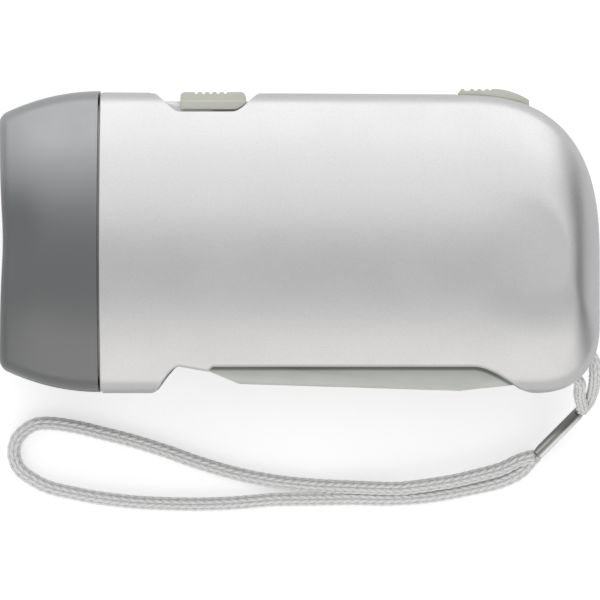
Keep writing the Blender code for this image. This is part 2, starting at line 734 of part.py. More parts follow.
def gear_centres():
    """Places of the lever's pivot and of the three gear shafts, each a true mesh from the last."""
    pivot = (PIVOT_X, PIVOT_Y)
    drive = on_circle(pivot, (SECTOR_TEETH + PINION_TEETH) * SECTOR_MODULE / 2, DRIVE_DIRECTION)
    second = on_circle(drive, (DRIVE_TEETH + PINION_TEETH) * DRIVE_MODULE / 2, SECOND_DIRECTION)
    rotor = on_circle(second, (SECOND_TEETH + PINION_TEETH) * SECOND_MODULE / 2, ROTOR_DIRECTION)
    return pivot, drive, second, rotor


PIVOT, DRIVE, SECOND, ROTOR = gear_centres()

# Heights of the gear train from the middle plane, each layer a gap above the last
SECTOR_LOW = -LEVER_HALF_WIDTH + LEVER_WALL
SECTOR_HIGH = SECTOR_LOW + SECTOR_THICKNESS
DRIVE_PINION_LOW = SECTOR_LOW + GAP
DRIVE_LOW = SECTOR_HIGH + 2 * GAP
DRIVE_HIGH = DRIVE_LOW + GEAR_THICKNESS
SECOND_PINION_LOW = DRIVE_LOW - PINION_OVERLAP
SECOND_LOW = DRIVE_HIGH + 2 * GAP
SECOND_HIGH = SECOND_LOW + SECOND_GEAR_THICKNESS
ROTOR_PINION_LOW = SECOND_LOW - PINION_OVERLAP
SHOULDER_LOW = SECOND_HIGH + GAP
SHOULDER_HIGH = SHOULDER_LOW + 2 * GAP
FLYWHEEL_LOW = SHOULDER_HIGH + GAP
FLYWHEEL_HIGH = FLYWHEEL_LOW + FLYWHEEL_THICKNESS
MAGNET_LOW = FLYWHEEL_HIGH + GAP
MAGNET_HIGH = MAGNET_LOW + MAGNET_THICKNESS
PLATE_LOW = MAGNET_HIGH + GAP
PLATE_HIGH = PLATE_LOW + PLATE_THICKNESS
AXLE_FOOT = -CASE_HALF_THICKNESS + CASE_WALL + OVERRUN

# Places that follow the gears and the case
PLATE_POSTS = (
    (DRIVE[0] - LOW_POST_AHEAD, SECOND[1] + LOW_POST_RISE),
    (ROTOR[0] - FRONT_POST_AHEAD, ROTOR[1] + FRONT_POST_RISE),
    (SECOND[0] - TOP_POST_AHEAD, SECOND[1] + TOP_POST_RISE),
)
CORE_X = ROTOR[0] + CORE_REACH
CORE_ARM_OFFSET = MAGNET_RADIUS + CORE_AIR_GAP + CORE_ARM_WIDTH / 2
CORE_MIDDLE = (MAGNET_LOW + MAGNET_HIGH) / 2
CORE_LOW = CORE_MIDDLE - CORE_THICKNESS / 2
CORE_HIGH = CORE_MIDDLE + CORE_THICKNESS / 2
SCREW_PLACES = (
    (SEAM_X + HEAD_SCREW_BACK, CASE_TOP_FRONT_Y - TOP_HEAD_SCREW_DROP),
    (SEAM_X + HEAD_SCREW_BACK, CASE_BOTTOM_Y + LOW_HEAD_SCREW_RISE),
    (TAIL_X - TOP_TAIL_SCREW_AHEAD, CASE_TOP_FRONT_Y - TOP_TAIL_SCREW_DROP),
    (TAIL_X - LOW_TAIL_SCREW_AHEAD, CASE_BOTTOM_Y + LOW_TAIL_SCREW_RISE),
)
RECESS_TOP_Y = CASE_TOP_FRONT_Y
PLATFORM_TOP_Y = RECESS_TOP_Y - PLATFORM_DEPTH
SCOOP_FLOOR_Y = RECESS_TOP_Y - SCOOP_DEPTH
TRAY_LOW_Y = SCOOP_FLOOR_Y - TRAY_FLOOR
SLIDER_BASE_Y = PLATFORM_TOP_Y + GAP
SLIDER_MIDDLE_X = SLIDER_FRONT_X + SLIDER_LENGTH / 2
STEM_LOW_Y = SLIDER_BASE_Y - STEM_DROP
SWITCH_TOP_Y = STEM_LOW_Y - GAP
SWITCH_LOW_Y = SWITCH_TOP_Y - SWITCH_HEIGHT
BOARD_TOP_Y = SWITCH_LOW_Y - GAP
BOARD_LOW_Y = BOARD_TOP_Y - BOARD_THICKNESS
LENS_FRONT_X = HEAD_FRONT_X + LIP_DEPTH + GAP
SEAL_FRONT_X = LENS_FRONT_X + LENS_THICKNESS + GAP
REFLECTOR_FRONT_X = SEAL_FRONT_X + SEAL_THICKNESS + GAP
REFLECTOR_REAR_X = REFLECTOR_FRONT_X + REFLECTOR_LENGTH
CUP_REAR_X = REFLECTOR_REAR_X
LAMP_BOARD_FRONT_X = CUP_REAR_X + LED_FLANGE_THICKNESS + 2 * GAP
COLLAR_FRONT_X = SEAM_X - COLLAR_LENGTH
COLLAR_OUTER = HEAD_WALL + GAP
COLLAR_INNER = COLLAR_OUTER + COLLAR_WALL


def gear_outline(centre, teeth, module, phase, first=0, last=None):
    """Outline of involute teeth, the first one centred on the phase angle."""
    pitch = teeth * module / 2
    base = pitch * math.cos(PRESSURE_ANGLE)
    root = pitch - DEDENDUM_SHARE * module
    tip = pitch + ADDENDUM_SHARE * module
    half_tooth = math.pi / 2 / teeth * (1 - BACKLASH_SHARE)
    pressed = math.tan(PRESSURE_ANGLE) - PRESSURE_ANGLE
    flank = []
    for radius in np.linspace(max(base, root), tip, FLANK_POINTS):
        angle = math.acos(min(base / radius, 1))
        flank.append((radius, half_tooth + pressed - (math.tan(angle) - angle)))
    if root < base:
        flank.insert(0, (root, flank[0][1]))
    outline = []
    for tooth in range(first, (teeth if last is None else last + 1)):
        middle = phase + 2 * math.pi * tooth / teeth
        outline += [on_circle(centre, radius, middle - half) for radius, half in flank]
        outline += [on_circle(centre, radius, middle + half) for radius, half in reversed(flank)]
    return outline


def gear(name, centre, teeth, module, phase, low, high):
    return plate(name, [gear_outline(centre, teeth, module, phase)], low, high)


def meshing_phase(direction, teeth):
    """Phase that puts a gap of the driven gear on the line of centres."""
    return direction + math.pi + math.pi / teeth


def round_around(centres, radius, steps=SMALL_ROUND_STEPS):
    """The outline that a belt would take round circles of one radius."""
    points = sorted(
        on_circle(c, radius, a)
        for c in centres
        for a in np.linspace(0, 2 * math.pi, steps, endpoint=False)
    )

    def chain(ordered):
        found = []
        for p in ordered:
            while len(found) > 1:
                (ax, ay), (bx, by) = found[-2:]
                if (bx - ax) * (p[1] - ay) - (by - ay) * (p[0] - ax) > 0:
                    break
                found.pop()
            found.append(p)
        return found[:-1]

    return chain(points) + chain(points[::-1])


def scoop_outline(depth, front_slope, rear_slope, rear_extra):
    """Side view of a recess in the case's top: level floor, S-shaped ends, open above."""
    rear_x = RECESS_FRONT_X + RECESS_LENGTH + rear_extra
    floor_y = RECESS_TOP_Y - depth
    down = ease((RECESS_FRONT_X, RECESS_TOP_Y), (RECESS_FRONT_X + front_slope, floor_y), 8)
    up = ease((rear_x - rear_slope, floor_y), (rear_x, RECESS_TOP_Y), 8)
    above = RECESS_TOP_Y + OVERRUN
    return [(RECESS_FRONT_X, above), *down, *up, (rear_x, above)]


def lever_slot_outline():
    """Side view of what is cut from both sides of the case for the lever."""
    low = CASE_BOTTOM_Y - OVERRUN
    rise = ease((SLOT_FRONT_X, CASE_BOTTOM_Y), (SLOT_FRONT_X + SLOT_FRONT_RISE_LENGTH, SLOT_EDGE_Y), 8)
    dip_x = rise[-1][0] + SLOT_DIP_LENGTH
    dip = [(dip_x, SLOT_EDGE_Y - SLOT_DIP_DEPTH), (dip_x + SLOT_DIP_RETURN, SLOT_EDGE_Y)]
    fall = ease((SLOT_REAR_X, SLOT_EDGE_Y), (SLOT_REAR_X + SLOT_REAR_LENGTH, CASE_BOTTOM_Y), 10)
    return [(SLOT_FRONT_X, low), *rise, *dip, *fall, (fall[-1][0], low)]


def lever_bottom():
    """The lever's outer edge in the side view, from its nose to its tail."""
    drops = (
        (LEVER_NOSE_LENGTH, LEVER_NOSE_DROP),
        (LEVER_HEEL_LENGTH, LEVER_HEEL_DROP),
        (LEVER_LOW_LENGTH, LEVER_LOW_DROP),
        (LEVER_TAIL_LENGTH, LEVER_TAIL_DROP),
    )
    return [(PIVOT_X + along, PIVOT_Y - drop) for along, drop in drops]


def case_half(side):
    """One half of the case: side is 1 for the near half and -1 for the far one."""
    name = "near" if side > 0 else "far"
    surface = case_surface(side)
    shell = helper(name + "_shell", surface, faces_out=False)
    solidify = shell.modifiers.new("wall", "SOLIDIFY")
    solidify.thickness = CASE_WALL
    solidify.offset = -1
    solidify.use_even_offset = True
    start = side * GAP / 2
    reach = side * CASE_HALF_THICKNESS

    def span(a, b):
        return (min(a, b), max(a, b))

    def inside(shape):
        """Keeps the part of a boss or rib that lies within the case's wall."""
        envelope = helper(name + "_room", case_surface(side, inset=CASE_WALL / 2, closed=True))
        return combine(shape, [envelope], "INTERSECT")

    collar_loop = head_loop(
        (
            (COLLAR_FRONT_X, COLLAR_OUTER),
            (SEAM_X, COLLAR_OUTER),
            (SEAM_X, CASE_WALL / 2),
            (SEAM_X + COLLAR_FLANGE, CASE_WALL / 2),
            (SEAM_X + COLLAR_FLANGE, COLLAR_INNER),
            (COLLAR_FRONT_X, COLLAR_INNER),
        )
    )
    collar = half_oval(name + "_collar", collar_loop, side, ROUND_STEPS + 1)
    features = [collar]
    for k, place in enumerate(SCREW_PLACES):
        boss = rod(f"{name}_screw_boss_{k}", place, *span(start, reach), SCREW_BOSS_RADIUS)
        features.append(inside(boss))
    lever_side = side * (LEVER_HALF_WIDTH + GAP)
    features.append(inside(rod(name + "_pivot_boss", PIVOT, *span(lever_side, reach), PIVOT_HUB_RADIUS)))
    tray_x = (RECESS_FRONT_X - TRAY_MARGIN, RECESS_FRONT_X + RECESS_LENGTH + TRAY_MARGIN)
    tray_top = RECESS_TOP_Y - CASE_WALL / 2
    tray = block(
        name + "_tray",
        (tray_x[0], TRAY_LOW_Y, min(start, reach)),
        (tray_x[1], tray_top, max(start, reach)),
    )
    features.append(inside(tray))
    eye_half = side * (BAR_HALF_LENGTH + CASE_WALL / 2)
    eye_radius = EYE_RADIUS + EYE_BLOCK_MARGIN
    features.append(inside(rod(name + "_eye_block", (BAR_X, BAR_Y), *span(start, eye_half), eye_radius)))
    rib_low = side * (BOARD_HALF_WIDTH - BOARD_RIB_LIP)
    for k, rib_x in enumerate(board_rib_places()):
        rib = block(
            f"{name}_board_rib_{k}",
            (rib_x, BOARD_LOW_Y - BOARD_RIB_LIP, min(rib_low, reach)),
            (rib_x + BOARD_RIB_LENGTH, BOARD_TOP_Y + BOARD_RIB_LIP, max(rib_low, reach)),
        )
        features.append(inside(rib))
    battery = (BATTERY_X, BATTERY_Y)
    pad = side * (BATTERY_HALF_LENGTH + GAP)
    features.append(inside(rod(name + "_battery_pad", battery, *span(pad, reach), PAD_RADIUS)))
    if side < 0:
        features += far_half_bosses(inside)
    join(shell, *features)

    cutters = []
    hole_radius = SCREW_RADIUS + GAP
    if side > 0:
        tip = SCREW_TIP_OFF + GAP
        for k, place in enumerate(SCREW_PLACES):
            cutters.append(rod(f"near_screw_hole_{k}", place, -OVERRUN, tip, hole_radius, SMALL_ROUND_STEPS))
    else:
        seat = SCREW_SEAT_OFF - GAP
        out = -CASE_HALF_THICKNESS - OVERRUN
        head_radius = SCREW_HEAD_RADIUS + GAP
        for k, place in enumerate(SCREW_PLACES):
            low = seat - OVERRUN
            cutters.append(rod(f"far_screw_hole_{k}", place, low, OVERRUN, hole_radius, SMALL_ROUND_STEPS))
            cutters.append(rod(f"far_head_hole_{k}", place, out, seat, head_radius, SMALL_ROUND_STEPS))
        cutters += far_half_holes()
    far_off = side * (CASE_HALF_THICKNESS + OVERRUN)
    cutters.append(plate(name + "_lever_slot", [lever_slot_outline()], *span(-side * OVERRUN, far_off)))
    inner_off = side * (LEVER_HALF_WIDTH + SLOT_SIDE_GAP)
    room_front_x = SLOT_FRONT_X + SLOT_FRONT_RISE_LENGTH / 2
    tail_x = PIVOT_X + LEVER_TAIL_LENGTH + 2 * SLOT_SIDE_GAP
    inner = block(
        name + "_lever_room",
        (room_front_x, CASE_BOTTOM_Y - OVERRUN, min(-side * OVERRUN, inner_off)),
        (tail_x, SLOT_INNER_TOP_Y, max(-side * OVERRUN, inner_off)),
    )
    cutters.append(inner)
    board_out = side * (BOARD_HALF_WIDTH + GAP)
    board_slot = block(
        name + "_board_slot",
        (BOARD_FRONT_X, BOARD_LOW_Y - GAP, min(-side * OVERRUN, board_out)),
        (BOARD_FRONT_X + BOARD_LENGTH, BOARD_TOP_Y + GAP, max(-side * OVERRUN, board_out)),
    )
    cutters.append(board_slot)
    pin_end = side * (LEVER_HALF_WIDTH + PIN_SOCKET + GAP)
    pin_span = span(-side * OVERRUN, pin_end)
    cutters.append(rod(name + "_pin_hole", PIVOT, *pin_span, PIVOT_PIN_RADIUS + GAP))
    deep = scoop_outline(SCOOP_DEPTH, SCOOP_SLOPE, SCOOP_SLOPE, SCOOP_REAR_EXTRA)
    cutters.append(plate(name + "_scoop", [deep], *span(side * PLATFORM_HALF_WIDTH, far_off)))
    shallow = scoop_outline(PLATFORM_DEPTH, RECESS_SLOPE, RECESS_SLOPE, 0)
    platform_span = span(-side * OVERRUN, side * (PLATFORM_HALF_WIDTH + WELD))
    cutters.append(plate(name + "_platform", [shallow], *platform_span))
    pocket_out = side * (PLATFORM_HALF_WIDTH + SLIDER_SKIRT_WALL + 2 * GAP)
    pocket_in = side * PLATFORM_HALF_WIDTH
    pocket_low_y = SLIDER_BASE_Y - SLIDER_SKIRT_DROP - GAP
    pocket = block(
        name + "_skirt_pocket",
        (SLIDER_FRONT_X - SLIDER_TRAVEL - GAP, pocket_low_y, min(pocket_in, pocket_out)),
        (SLIDER_MIDDLE_X, RECESS_TOP_Y, max(pocket_in, pocket_out)),
    )
    cutters.append(pocket)
    stem_out = side * (STEM_HALF_WIDTH + GAP)
    stem_front_x = SLIDER_MIDDLE_X - STEM_HALF_LENGTH - SLIDER_TRAVEL - GAP
    stem = block(
        name + "_stem_hole",
        (stem_front_x, TRAY_LOW_Y - OVERRUN, min(-side * OVERRUN, stem_out)),
        (SLIDER_MIDDLE_X + STEM_HALF_LENGTH + GAP, RECESS_TOP_Y, max(-side * OVERRUN, stem_out)),
    )
    cutters.append(stem)
    lock_out = side * (LOCK_STEM_HALF_WIDTH + GAP)
    lock_x = LOCK_FRONT_X + LOCK_STEM_FRONT
    lock = block(
        name + "_lock_hole",
        (lock_x - GAP, LOCK_BAR_TOP_Y, min(-side * OVERRUN, lock_out)),
        (lock_x + LOCK_STEM_LENGTH + LOCK_TRAVEL + GAP, LOCK_TOP_Y, max(-side * OVERRUN, lock_out)),
    )
    cutters.append(lock)
    recess_span = span(-side * OVERRUN, side * (LOCK_HALF_WIDTH + GAP))
    cutters.append(plate(name + "_lock_recess", [lock_recess_outline()], *recess_span))
    eye_out = side * EYE_HALF_WIDTH
    cutters.append(rod(name + "_eye", (BAR_X, BAR_Y), *span(-side * OVERRUN, eye_out), EYE_RADIUS))
    bar_out = side * (BAR_HALF_LENGTH + GAP)
    bar_span = span(-side * OVERRUN, bar_out)
    bar_radius = BAR_RADIUS + GAP
    cutters.append(rod(name + "_bar_hole", (BAR_X, BAR_Y), *bar_span, bar_radius, SMALL_ROUND_STEPS))
    cut(shell, *cutters)
    return finish(shell, f"case_{name}_half", (0.78, 0.79, 0.8), 0.35, 0.6)


def board_rib_places():
    """Where the two ribs that hold the circuit board begin."""
    rear = BOARD_FRONT_X + BOARD_LENGTH - BOARD_RIB_LIP - BOARD_RIB_LENGTH
    return (BOARD_FRONT_X + BOARD_RIB_LIP, rear)


def case_top_y(x):
    """Height of the case's outline above the middle of the tail's round corner."""
    start_x = TAIL_X - TOP_CORNER_LENGTH
    rear_y = CASE_TOP_FRONT_Y - CASE_TOP_DROP
    share = max(x - start_x, 0) / TOP_CORNER_LENGTH
    drop = 1 - (1 - share**TOP_CORNER_EXPONENT) ** (1 / TOP_CORNER_EXPONENT)
    return rear_y - TOP_CORNER_HEIGHT * drop


def lock_recess_outline():
    """Side view of the shallow bed that the lock slider lies in."""
    xs = np.linspace(LOCK_FRONT_X - GAP, LOCK_FRONT_X + LOCK_LENGTH + LOCK_TRAVEL + GAP, 9)
    floor = [(x, case_top_y(x) - LOCK_BED_DEPTH) for x in xs]
    above = LOCK_TOP_Y + OVERRUN
    return [(xs[0], above), *floor, (xs[-1], above)]


def far_half_bosses(inside):
    """Bosses of the far half that carry the gear shafts, the gear plate, the core and the battery."""
    reach = -CASE_HALF_THICKNESS
    found = []
    feet = ((DRIVE, DRIVE_PINION_LOW), (SECOND, SECOND_PINION_LOW), (ROTOR, ROTOR_PINION_LOW))
    for k, (place, top) in enumerate(feet):
        found.append(inside(rod(f"shaft_boss_{k}", place, reach, top - GAP, AXLE_BOSS_RADIUS)))
    for k, place in enumerate(PLATE_POSTS):
        found.append(inside(rod(f"plate_post_{k}", place, reach, PLATE_LOW - GAP, PLATE_POST_RADIUS)))
    for side in (-1, 1):
        foot = (CORE_X, ROTOR[1] + side * CORE_ARM_OFFSET)
        found.append(inside(rod(f"core_post_{side}", foot, reach, CORE_LOW - GAP, CORE_ARM_WIDTH / 2)))
    bore = BATTERY_RADIUS + GAP
    top = -BATTERY_HALF_LENGTH + CRADLE_HEIGHT
    profile = ring_profile(bore, bore + CRADLE_WALL, reach, top)
    cradle = turned("cradle", profile, (BATTERY_X, BATTERY_Y, 0), closed=True, steps=2 * ROUND_STEPS)
    found.append(inside(cradle))
    return found


def far_half_holes():
    """Holes of the far half for the shafts and the plate's screws."""
    found = []
    feet = ((DRIVE, DRIVE_PINION_LOW), (SECOND, SECOND_PINION_LOW), (ROTOR, ROTOR_PINION_LOW))
    bore = AXLE_RADIUS + GAP
    for k, (place, top) in enumerate(feet):
        found.append(rod(f"shaft_hole_{k}", place, AXLE_FOOT - GAP, top + OVERRUN, bore, SMALL_ROUND_STEPS))
    low = PLATE_HIGH + GAP - PLATE_SCREW_LENGTH - GAP
    high = PLATE_LOW + OVERRUN
    pilot = PLATE_SCREW_RADIUS + GAP
    for k, place in enumerate(PLATE_POSTS):
        found.append(rod(f"plate_pilot_{k}", place, low, high, pilot, SMALL_ROUND_STEPS))
    return found


def head_pieces():
    """The smoky cup, its lens and seal, the reflector, and the lamp board with three lamps."""
    front = HEAD_FRONT_X
    outer = [(SEAM_X - GAP, 0)]
    for share in (0.25, 0.45, 0.62, 0.77, 0.88):
        outer.append((SEAM_X + (front + RIM_ROUND - SEAM_X) * share, 0))
    corner = [(front + RIM_ROUND, 0), (front + RIM_ROUND * 0.3, RIM_ROUND * 0.3), (front, RIM_ROUND)]
    lip_rear = front + LIP_DEPTH
    inner = [
        (front, HEAD_WALL),
        (lip_rear, HEAD_WALL + LIP_WIDTH),
    ]
    inner += [(x, HEAD_WALL) for x in np.linspace(lip_rear, COLLAR_FRONT_X, 5)]
    inner.append((SEAM_X - GAP, HEAD_WALL))
    head = oval_ring("head", head_loop(outer + corner + inner))
    finish(head, "head_bezel", (0.42, 0.43, 0.44), 0.25, 0.0, 0.8)

    lens_inset = HEAD_WALL + GAP
    lens_rear = LENS_FRONT_X + LENS_THICKNESS
    size = head_size(LENS_FRONT_X, lens_inset)
    lens = oval_disc("lens", [(LENS_FRONT_X, *size), (lens_rear, *size)])
    finish(lens, "front_lens", (0.9, 0.92, 0.93), 0.05, 0.0, 0.3)

    seal_rear = SEAL_FRONT_X + SEAL_THICKNESS
    size = head_size(SEAL_FRONT_X, lens_inset)
    hole = head_size(SEAL_FRONT_X, lens_inset + SEAL_WIDTH)
    seal_loop = [(SEAL_FRONT_X, *size), (seal_rear, *size), (seal_rear, *hole), (SEAL_FRONT_X, *hole)]
    finish(oval_ring("seal", seal_loop), "lens_seal", (0.06, 0.06, 0.06), 0.8)

    skirt_rear = COLLAR_FRONT_X - GAP
    face_rear = REFLECTOR_FRONT_X + REFLECTOR_WALL
    outside = head_loop(((REFLECTOR_FRONT_X, lens_inset), (skirt_rear, lens_inset)))
    wall_inset = lens_inset + REFLECTOR_WALL
    inside_rear = head_loop(((skirt_rear, wall_inset), (REFLECTOR_FRONT_X, wall_inset)))
    reflector = oval_ring("reflector_skirt", outside + inside_rear)
    face_size = head_size(REFLECTOR_FRONT_X, lens_inset + REFLECTOR_WALL / 2)
    face = oval_disc("reflector_face", [(REFLECTOR_FRONT_X, *face_size), (face_rear, *face_size)])
    cups, bores = [], []
    for k, (y, off) in enumerate(lamp_places()):
        cup, bore = lamp_cup(k, y, off)
        cups.append(cup)
        bores.append(bore)
    join(reflector, face, *cups)
    cut(reflector, *bores)
    finish(reflector, "reflector", (0.85, 0.86, 0.88), 0.08, 1.0)

    size = head_size(COLLAR_FRONT_X, COLLAR_INNER + GAP)
    board_rear = LAMP_BOARD_FRONT_X + LAMP_BOARD_THICKNESS
    board = oval_disc("lamp_board", [(LAMP_BOARD_FRONT_X, *size), (board_rear, *size)])
    finish(board, "lamp_board", (0.1, 0.35, 0.16), 0.5)

    for k, (y, off) in enumerate(lamp_places()):
        dome = [
            (LED_RADIUS * math.sin(a), LED_LENGTH - LED_RADIUS * (1 - math.cos(a)))
            for a in np.linspace(0, math.pi / 2, 6)
        ]
        foot = [(LED_RADIUS, LED_FLANGE_THICKNESS), (LED_FLANGE_RADIUS, LED_FLANGE_THICKNESS)]
        base = [(LED_FLANGE_RADIUS, 0), (0, 0)]
        place = (LAMP_BOARD_FRONT_X - GAP, y, off)
        lamp = turned(f"lamp_{k}", dome + foot + base, place, (0, -math.pi / 2, 0), SMALL_ROUND_STEPS)
        finish(lamp, f"led_{k + 1}", (0.92, 0.93, 0.95), 0.08, 0.0, 0.7)


def lamp_places():
    """(y, off) of the three lamps, the first one at the top."""
    angles = [math.pi / 2 + 2 * math.pi * k / 3 for k in range(3)]
    return [(LAMP_CIRCLE_RADIUS * math.sin(a), LAMP_CIRCLE_RADIUS * math.cos(a)) for a in angles]


def lamp_cup(k, y, off):
    """A parabolic cup round one lamp, and the bore that opens it."""
    length = CUP_REAR_X - REFLECTOR_FRONT_X
    shares = np.linspace(1, 0, 7)
    bowl = [
        (CUP_NECK_RADIUS + (CUP_MOUTH_RADIUS - CUP_NECK_RADIUS) * math.sqrt(s), length * s)
        for s in shares
    ]
    outside = [(radius + CUP_WALL, height) for radius, height in bowl]
    outside[0] = (outside[0][0], length - REFLECTOR_WALL / 2)
    hollow = [(0, length + OVERRUN), (CUP_MOUTH_RADIUS, length + OVERRUN), *bowl]
    hollow += [(CUP_NECK_RADIUS, -OVERRUN), (0, -OVERRUN)]
    solid = [(0, outside[0][1]), *outside, (0, 0)]
    place = (CUP_REAR_X, y, off)
    turn = (0, -math.pi / 2, 0)
    return turned(f"cup_{k}", solid, place, turn), turned(f"cup_bore_{k}", hollow, place, turn)


def lever():
    """The squeeze lever: a channel on the pivot, with its toothed sector and its catch post."""
    bottom = lever_bottom()
    tail = bottom[-1]
    top_y = PIVOT_Y + LEVER_TOP_RISE
    hub = [on_circle(PIVOT, PIVOT_HUB_RADIUS, a) for a in np.radians(np.linspace(110, 270, 9))]
    rear = [(PIVOT_X + LEVER_TOP_LENGTH, PIVOT_Y + LEVER_REAR_RISE)]
    front_top = (PIVOT_X + PIVOT_HUB_RADIUS, top_y)
    outline = bottom + rear + [front_top] + hub
    bm = bmesh.new()
    low_ring, high_ring = [
        [bm.verts.new((x, y, MID_Z + off)) for x, y in outline]
        for off in (-LEVER_HALF_WIDTH, LEVER_HALF_WIDTH)
    ]
    bm.faces.new(low_ring)
    bm.faces.new(high_ring[::-1])
    for k, vert in enumerate(low_ring):
        after = (k + 1) % len(outline)
        bm.faces.new((vert, low_ring[after], high_ring[after], high_ring[k]))
    under = set(low_ring[1 : len(bottom)] + high_ring[1 : len(bottom)])
    edges = [
        e
        for e in bm.edges
        if e.verts[0] in under and e.verts[1] in under and abs(e.verts[0].co.z - e.verts[1].co.z) < WELD
    ]
    bmesh.ops.bevel(bm, geom=edges, offset=LEVER_EDGE_ROUND, segments=4, profile=0.5, affect="EDGES")
    body = helper("lever_body", bm)

    inner = [(x + (LEVER_WALL if k == 0 else 0), y + LEVER_FLOOR) for k, (x, y) in enumerate(bottom)]
    inner[-1] = (tail[0] - LEVER_WALL, tail[1] + LEVER_FLOOR)
    above = top_y + OVERRUN
    front_x = PIVOT_X - PIVOT_HUB_RADIUS - OVERRUN
    front_y = PIVOT_Y - PIVOT_PIN_RADIUS - 2 * SPRING_WIRE_RADIUS - 2 * GAP
    room = inner + [(PIVOT_X + LEVER_TOP_LENGTH - LEVER_WALL, above), (front_x, above), (front_x, front_y)]
    inside_off = LEVER_HALF_WIDTH - LEVER_WALL
    cut(body, plate("lever_room", [room], -inside_off, inside_off))

    teeth = gear_outline(
        PIVOT, SECTOR_TEETH, SECTOR_MODULE, DRIVE_DIRECTION, SECTOR_FIRST_TOOTH, SECTOR_LAST_TOOTH
    )
    sector = plate("sector", [[PIVOT, *teeth]], SECTOR_LOW - LEVER_WALL / 2, SECTOR_HIGH)
    hub_low = rod("sector_hub", PIVOT, -LEVER_HALF_WIDTH + GAP, SECTOR_HIGH, PIVOT_HUB_RADIUS - POST_INSET)
    post_x = PIVOT_X + POST_FRONT_LENGTH
    post_top = PIVOT_Y + POST_RISE
    post_outline = [
        (post_x, PIVOT_Y),
        (post_x + POST_WIDTH, PIVOT_Y),
        (post_x + POST_WIDTH, post_top - NOSE_HEIGHT),
        (post_x + POST_WIDTH + NOSE_REACH, post_top - NOSE_HEIGHT),
        (post_x + POST_WIDTH + NOSE_REACH, post_top),
        (post_x, post_top),
    ]
    post = plate("catch_post", [post_outline], inside_off + POST_INSET, LEVER_HALF_WIDTH - POST_INSET)
    join(body, sector, hub_low, post)
    hole_end = LEVER_HALF_WIDTH + OVERRUN
    cut(body, rod("lever_pin_hole", PIVOT, -hole_end, hole_end, PIVOT_PIN_RADIUS + GAP))
    return finish(body, "squeeze_lever", (0.6, 0.61, 0.58), 0.45)


def lever_fittings():
    """The pin that the lever turns on, and the coiled spring that presses it open."""
    end = LEVER_HALF_WIDTH + PIN_SOCKET
    finish(rod("pin", PIVOT, -end, end, PIVOT_PIN_RADIUS), "lever_pivot_pin", (0.7, 0.7, 0.72), 0.3, 1.0)
    radius = PIVOT_PIN_RADIUS + GAP + SPRING_WIRE_RADIUS
    rise = SPRING_PITCH * SPRING_SWEEP / (2 * math.pi)
    shares = np.linspace(0, 1, SPRING_POINTS)
    coil = [
        (*on_circle(PIVOT, radius, SPRING_START_ANGLE + SPRING_SWEEP * s), MID_Z + rise * (s - 0.5))
        for s in shares
    ]
    first, last = Vector(coil[0]), Vector(coil[-1])
    end_angle = SPRING_START_ANGLE + SPRING_SWEEP
    lever_way = Vector((-math.sin(SPRING_START_ANGLE), math.cos(SPRING_START_ANGLE), 0))
    case_way = Vector((math.sin(end_angle), -math.cos(end_angle), 0))
    route = [first + lever_way * SPRING_LEVER_LEG, *coil, last + case_way * SPRING_CASE_LEG]
    spring = tube("spring", route, SPRING_WIRE_RADIUS)
    finish(spring, "lever_return_spring", (0.6, 0.6, 0.62), 0.3, 1.0)


def shaft(name, place):
    pin = rod(name, place, AXLE_FOOT, PLATE_HIGH, AXLE_RADIUS, SMALL_ROUND_STEPS)
    return finish(pin, name, (0.7, 0.7, 0.72), 0.25, 1.0)


def bored(obj, place, low, high):
    """Cuts the hole that a shaft runs in."""
    radius = AXLE_RADIUS + GAP
    return cut(obj, rod(obj.name + "_bore", place, low - OVERRUN, high + OVERRUN, radius, SMALL_ROUND_STEPS))


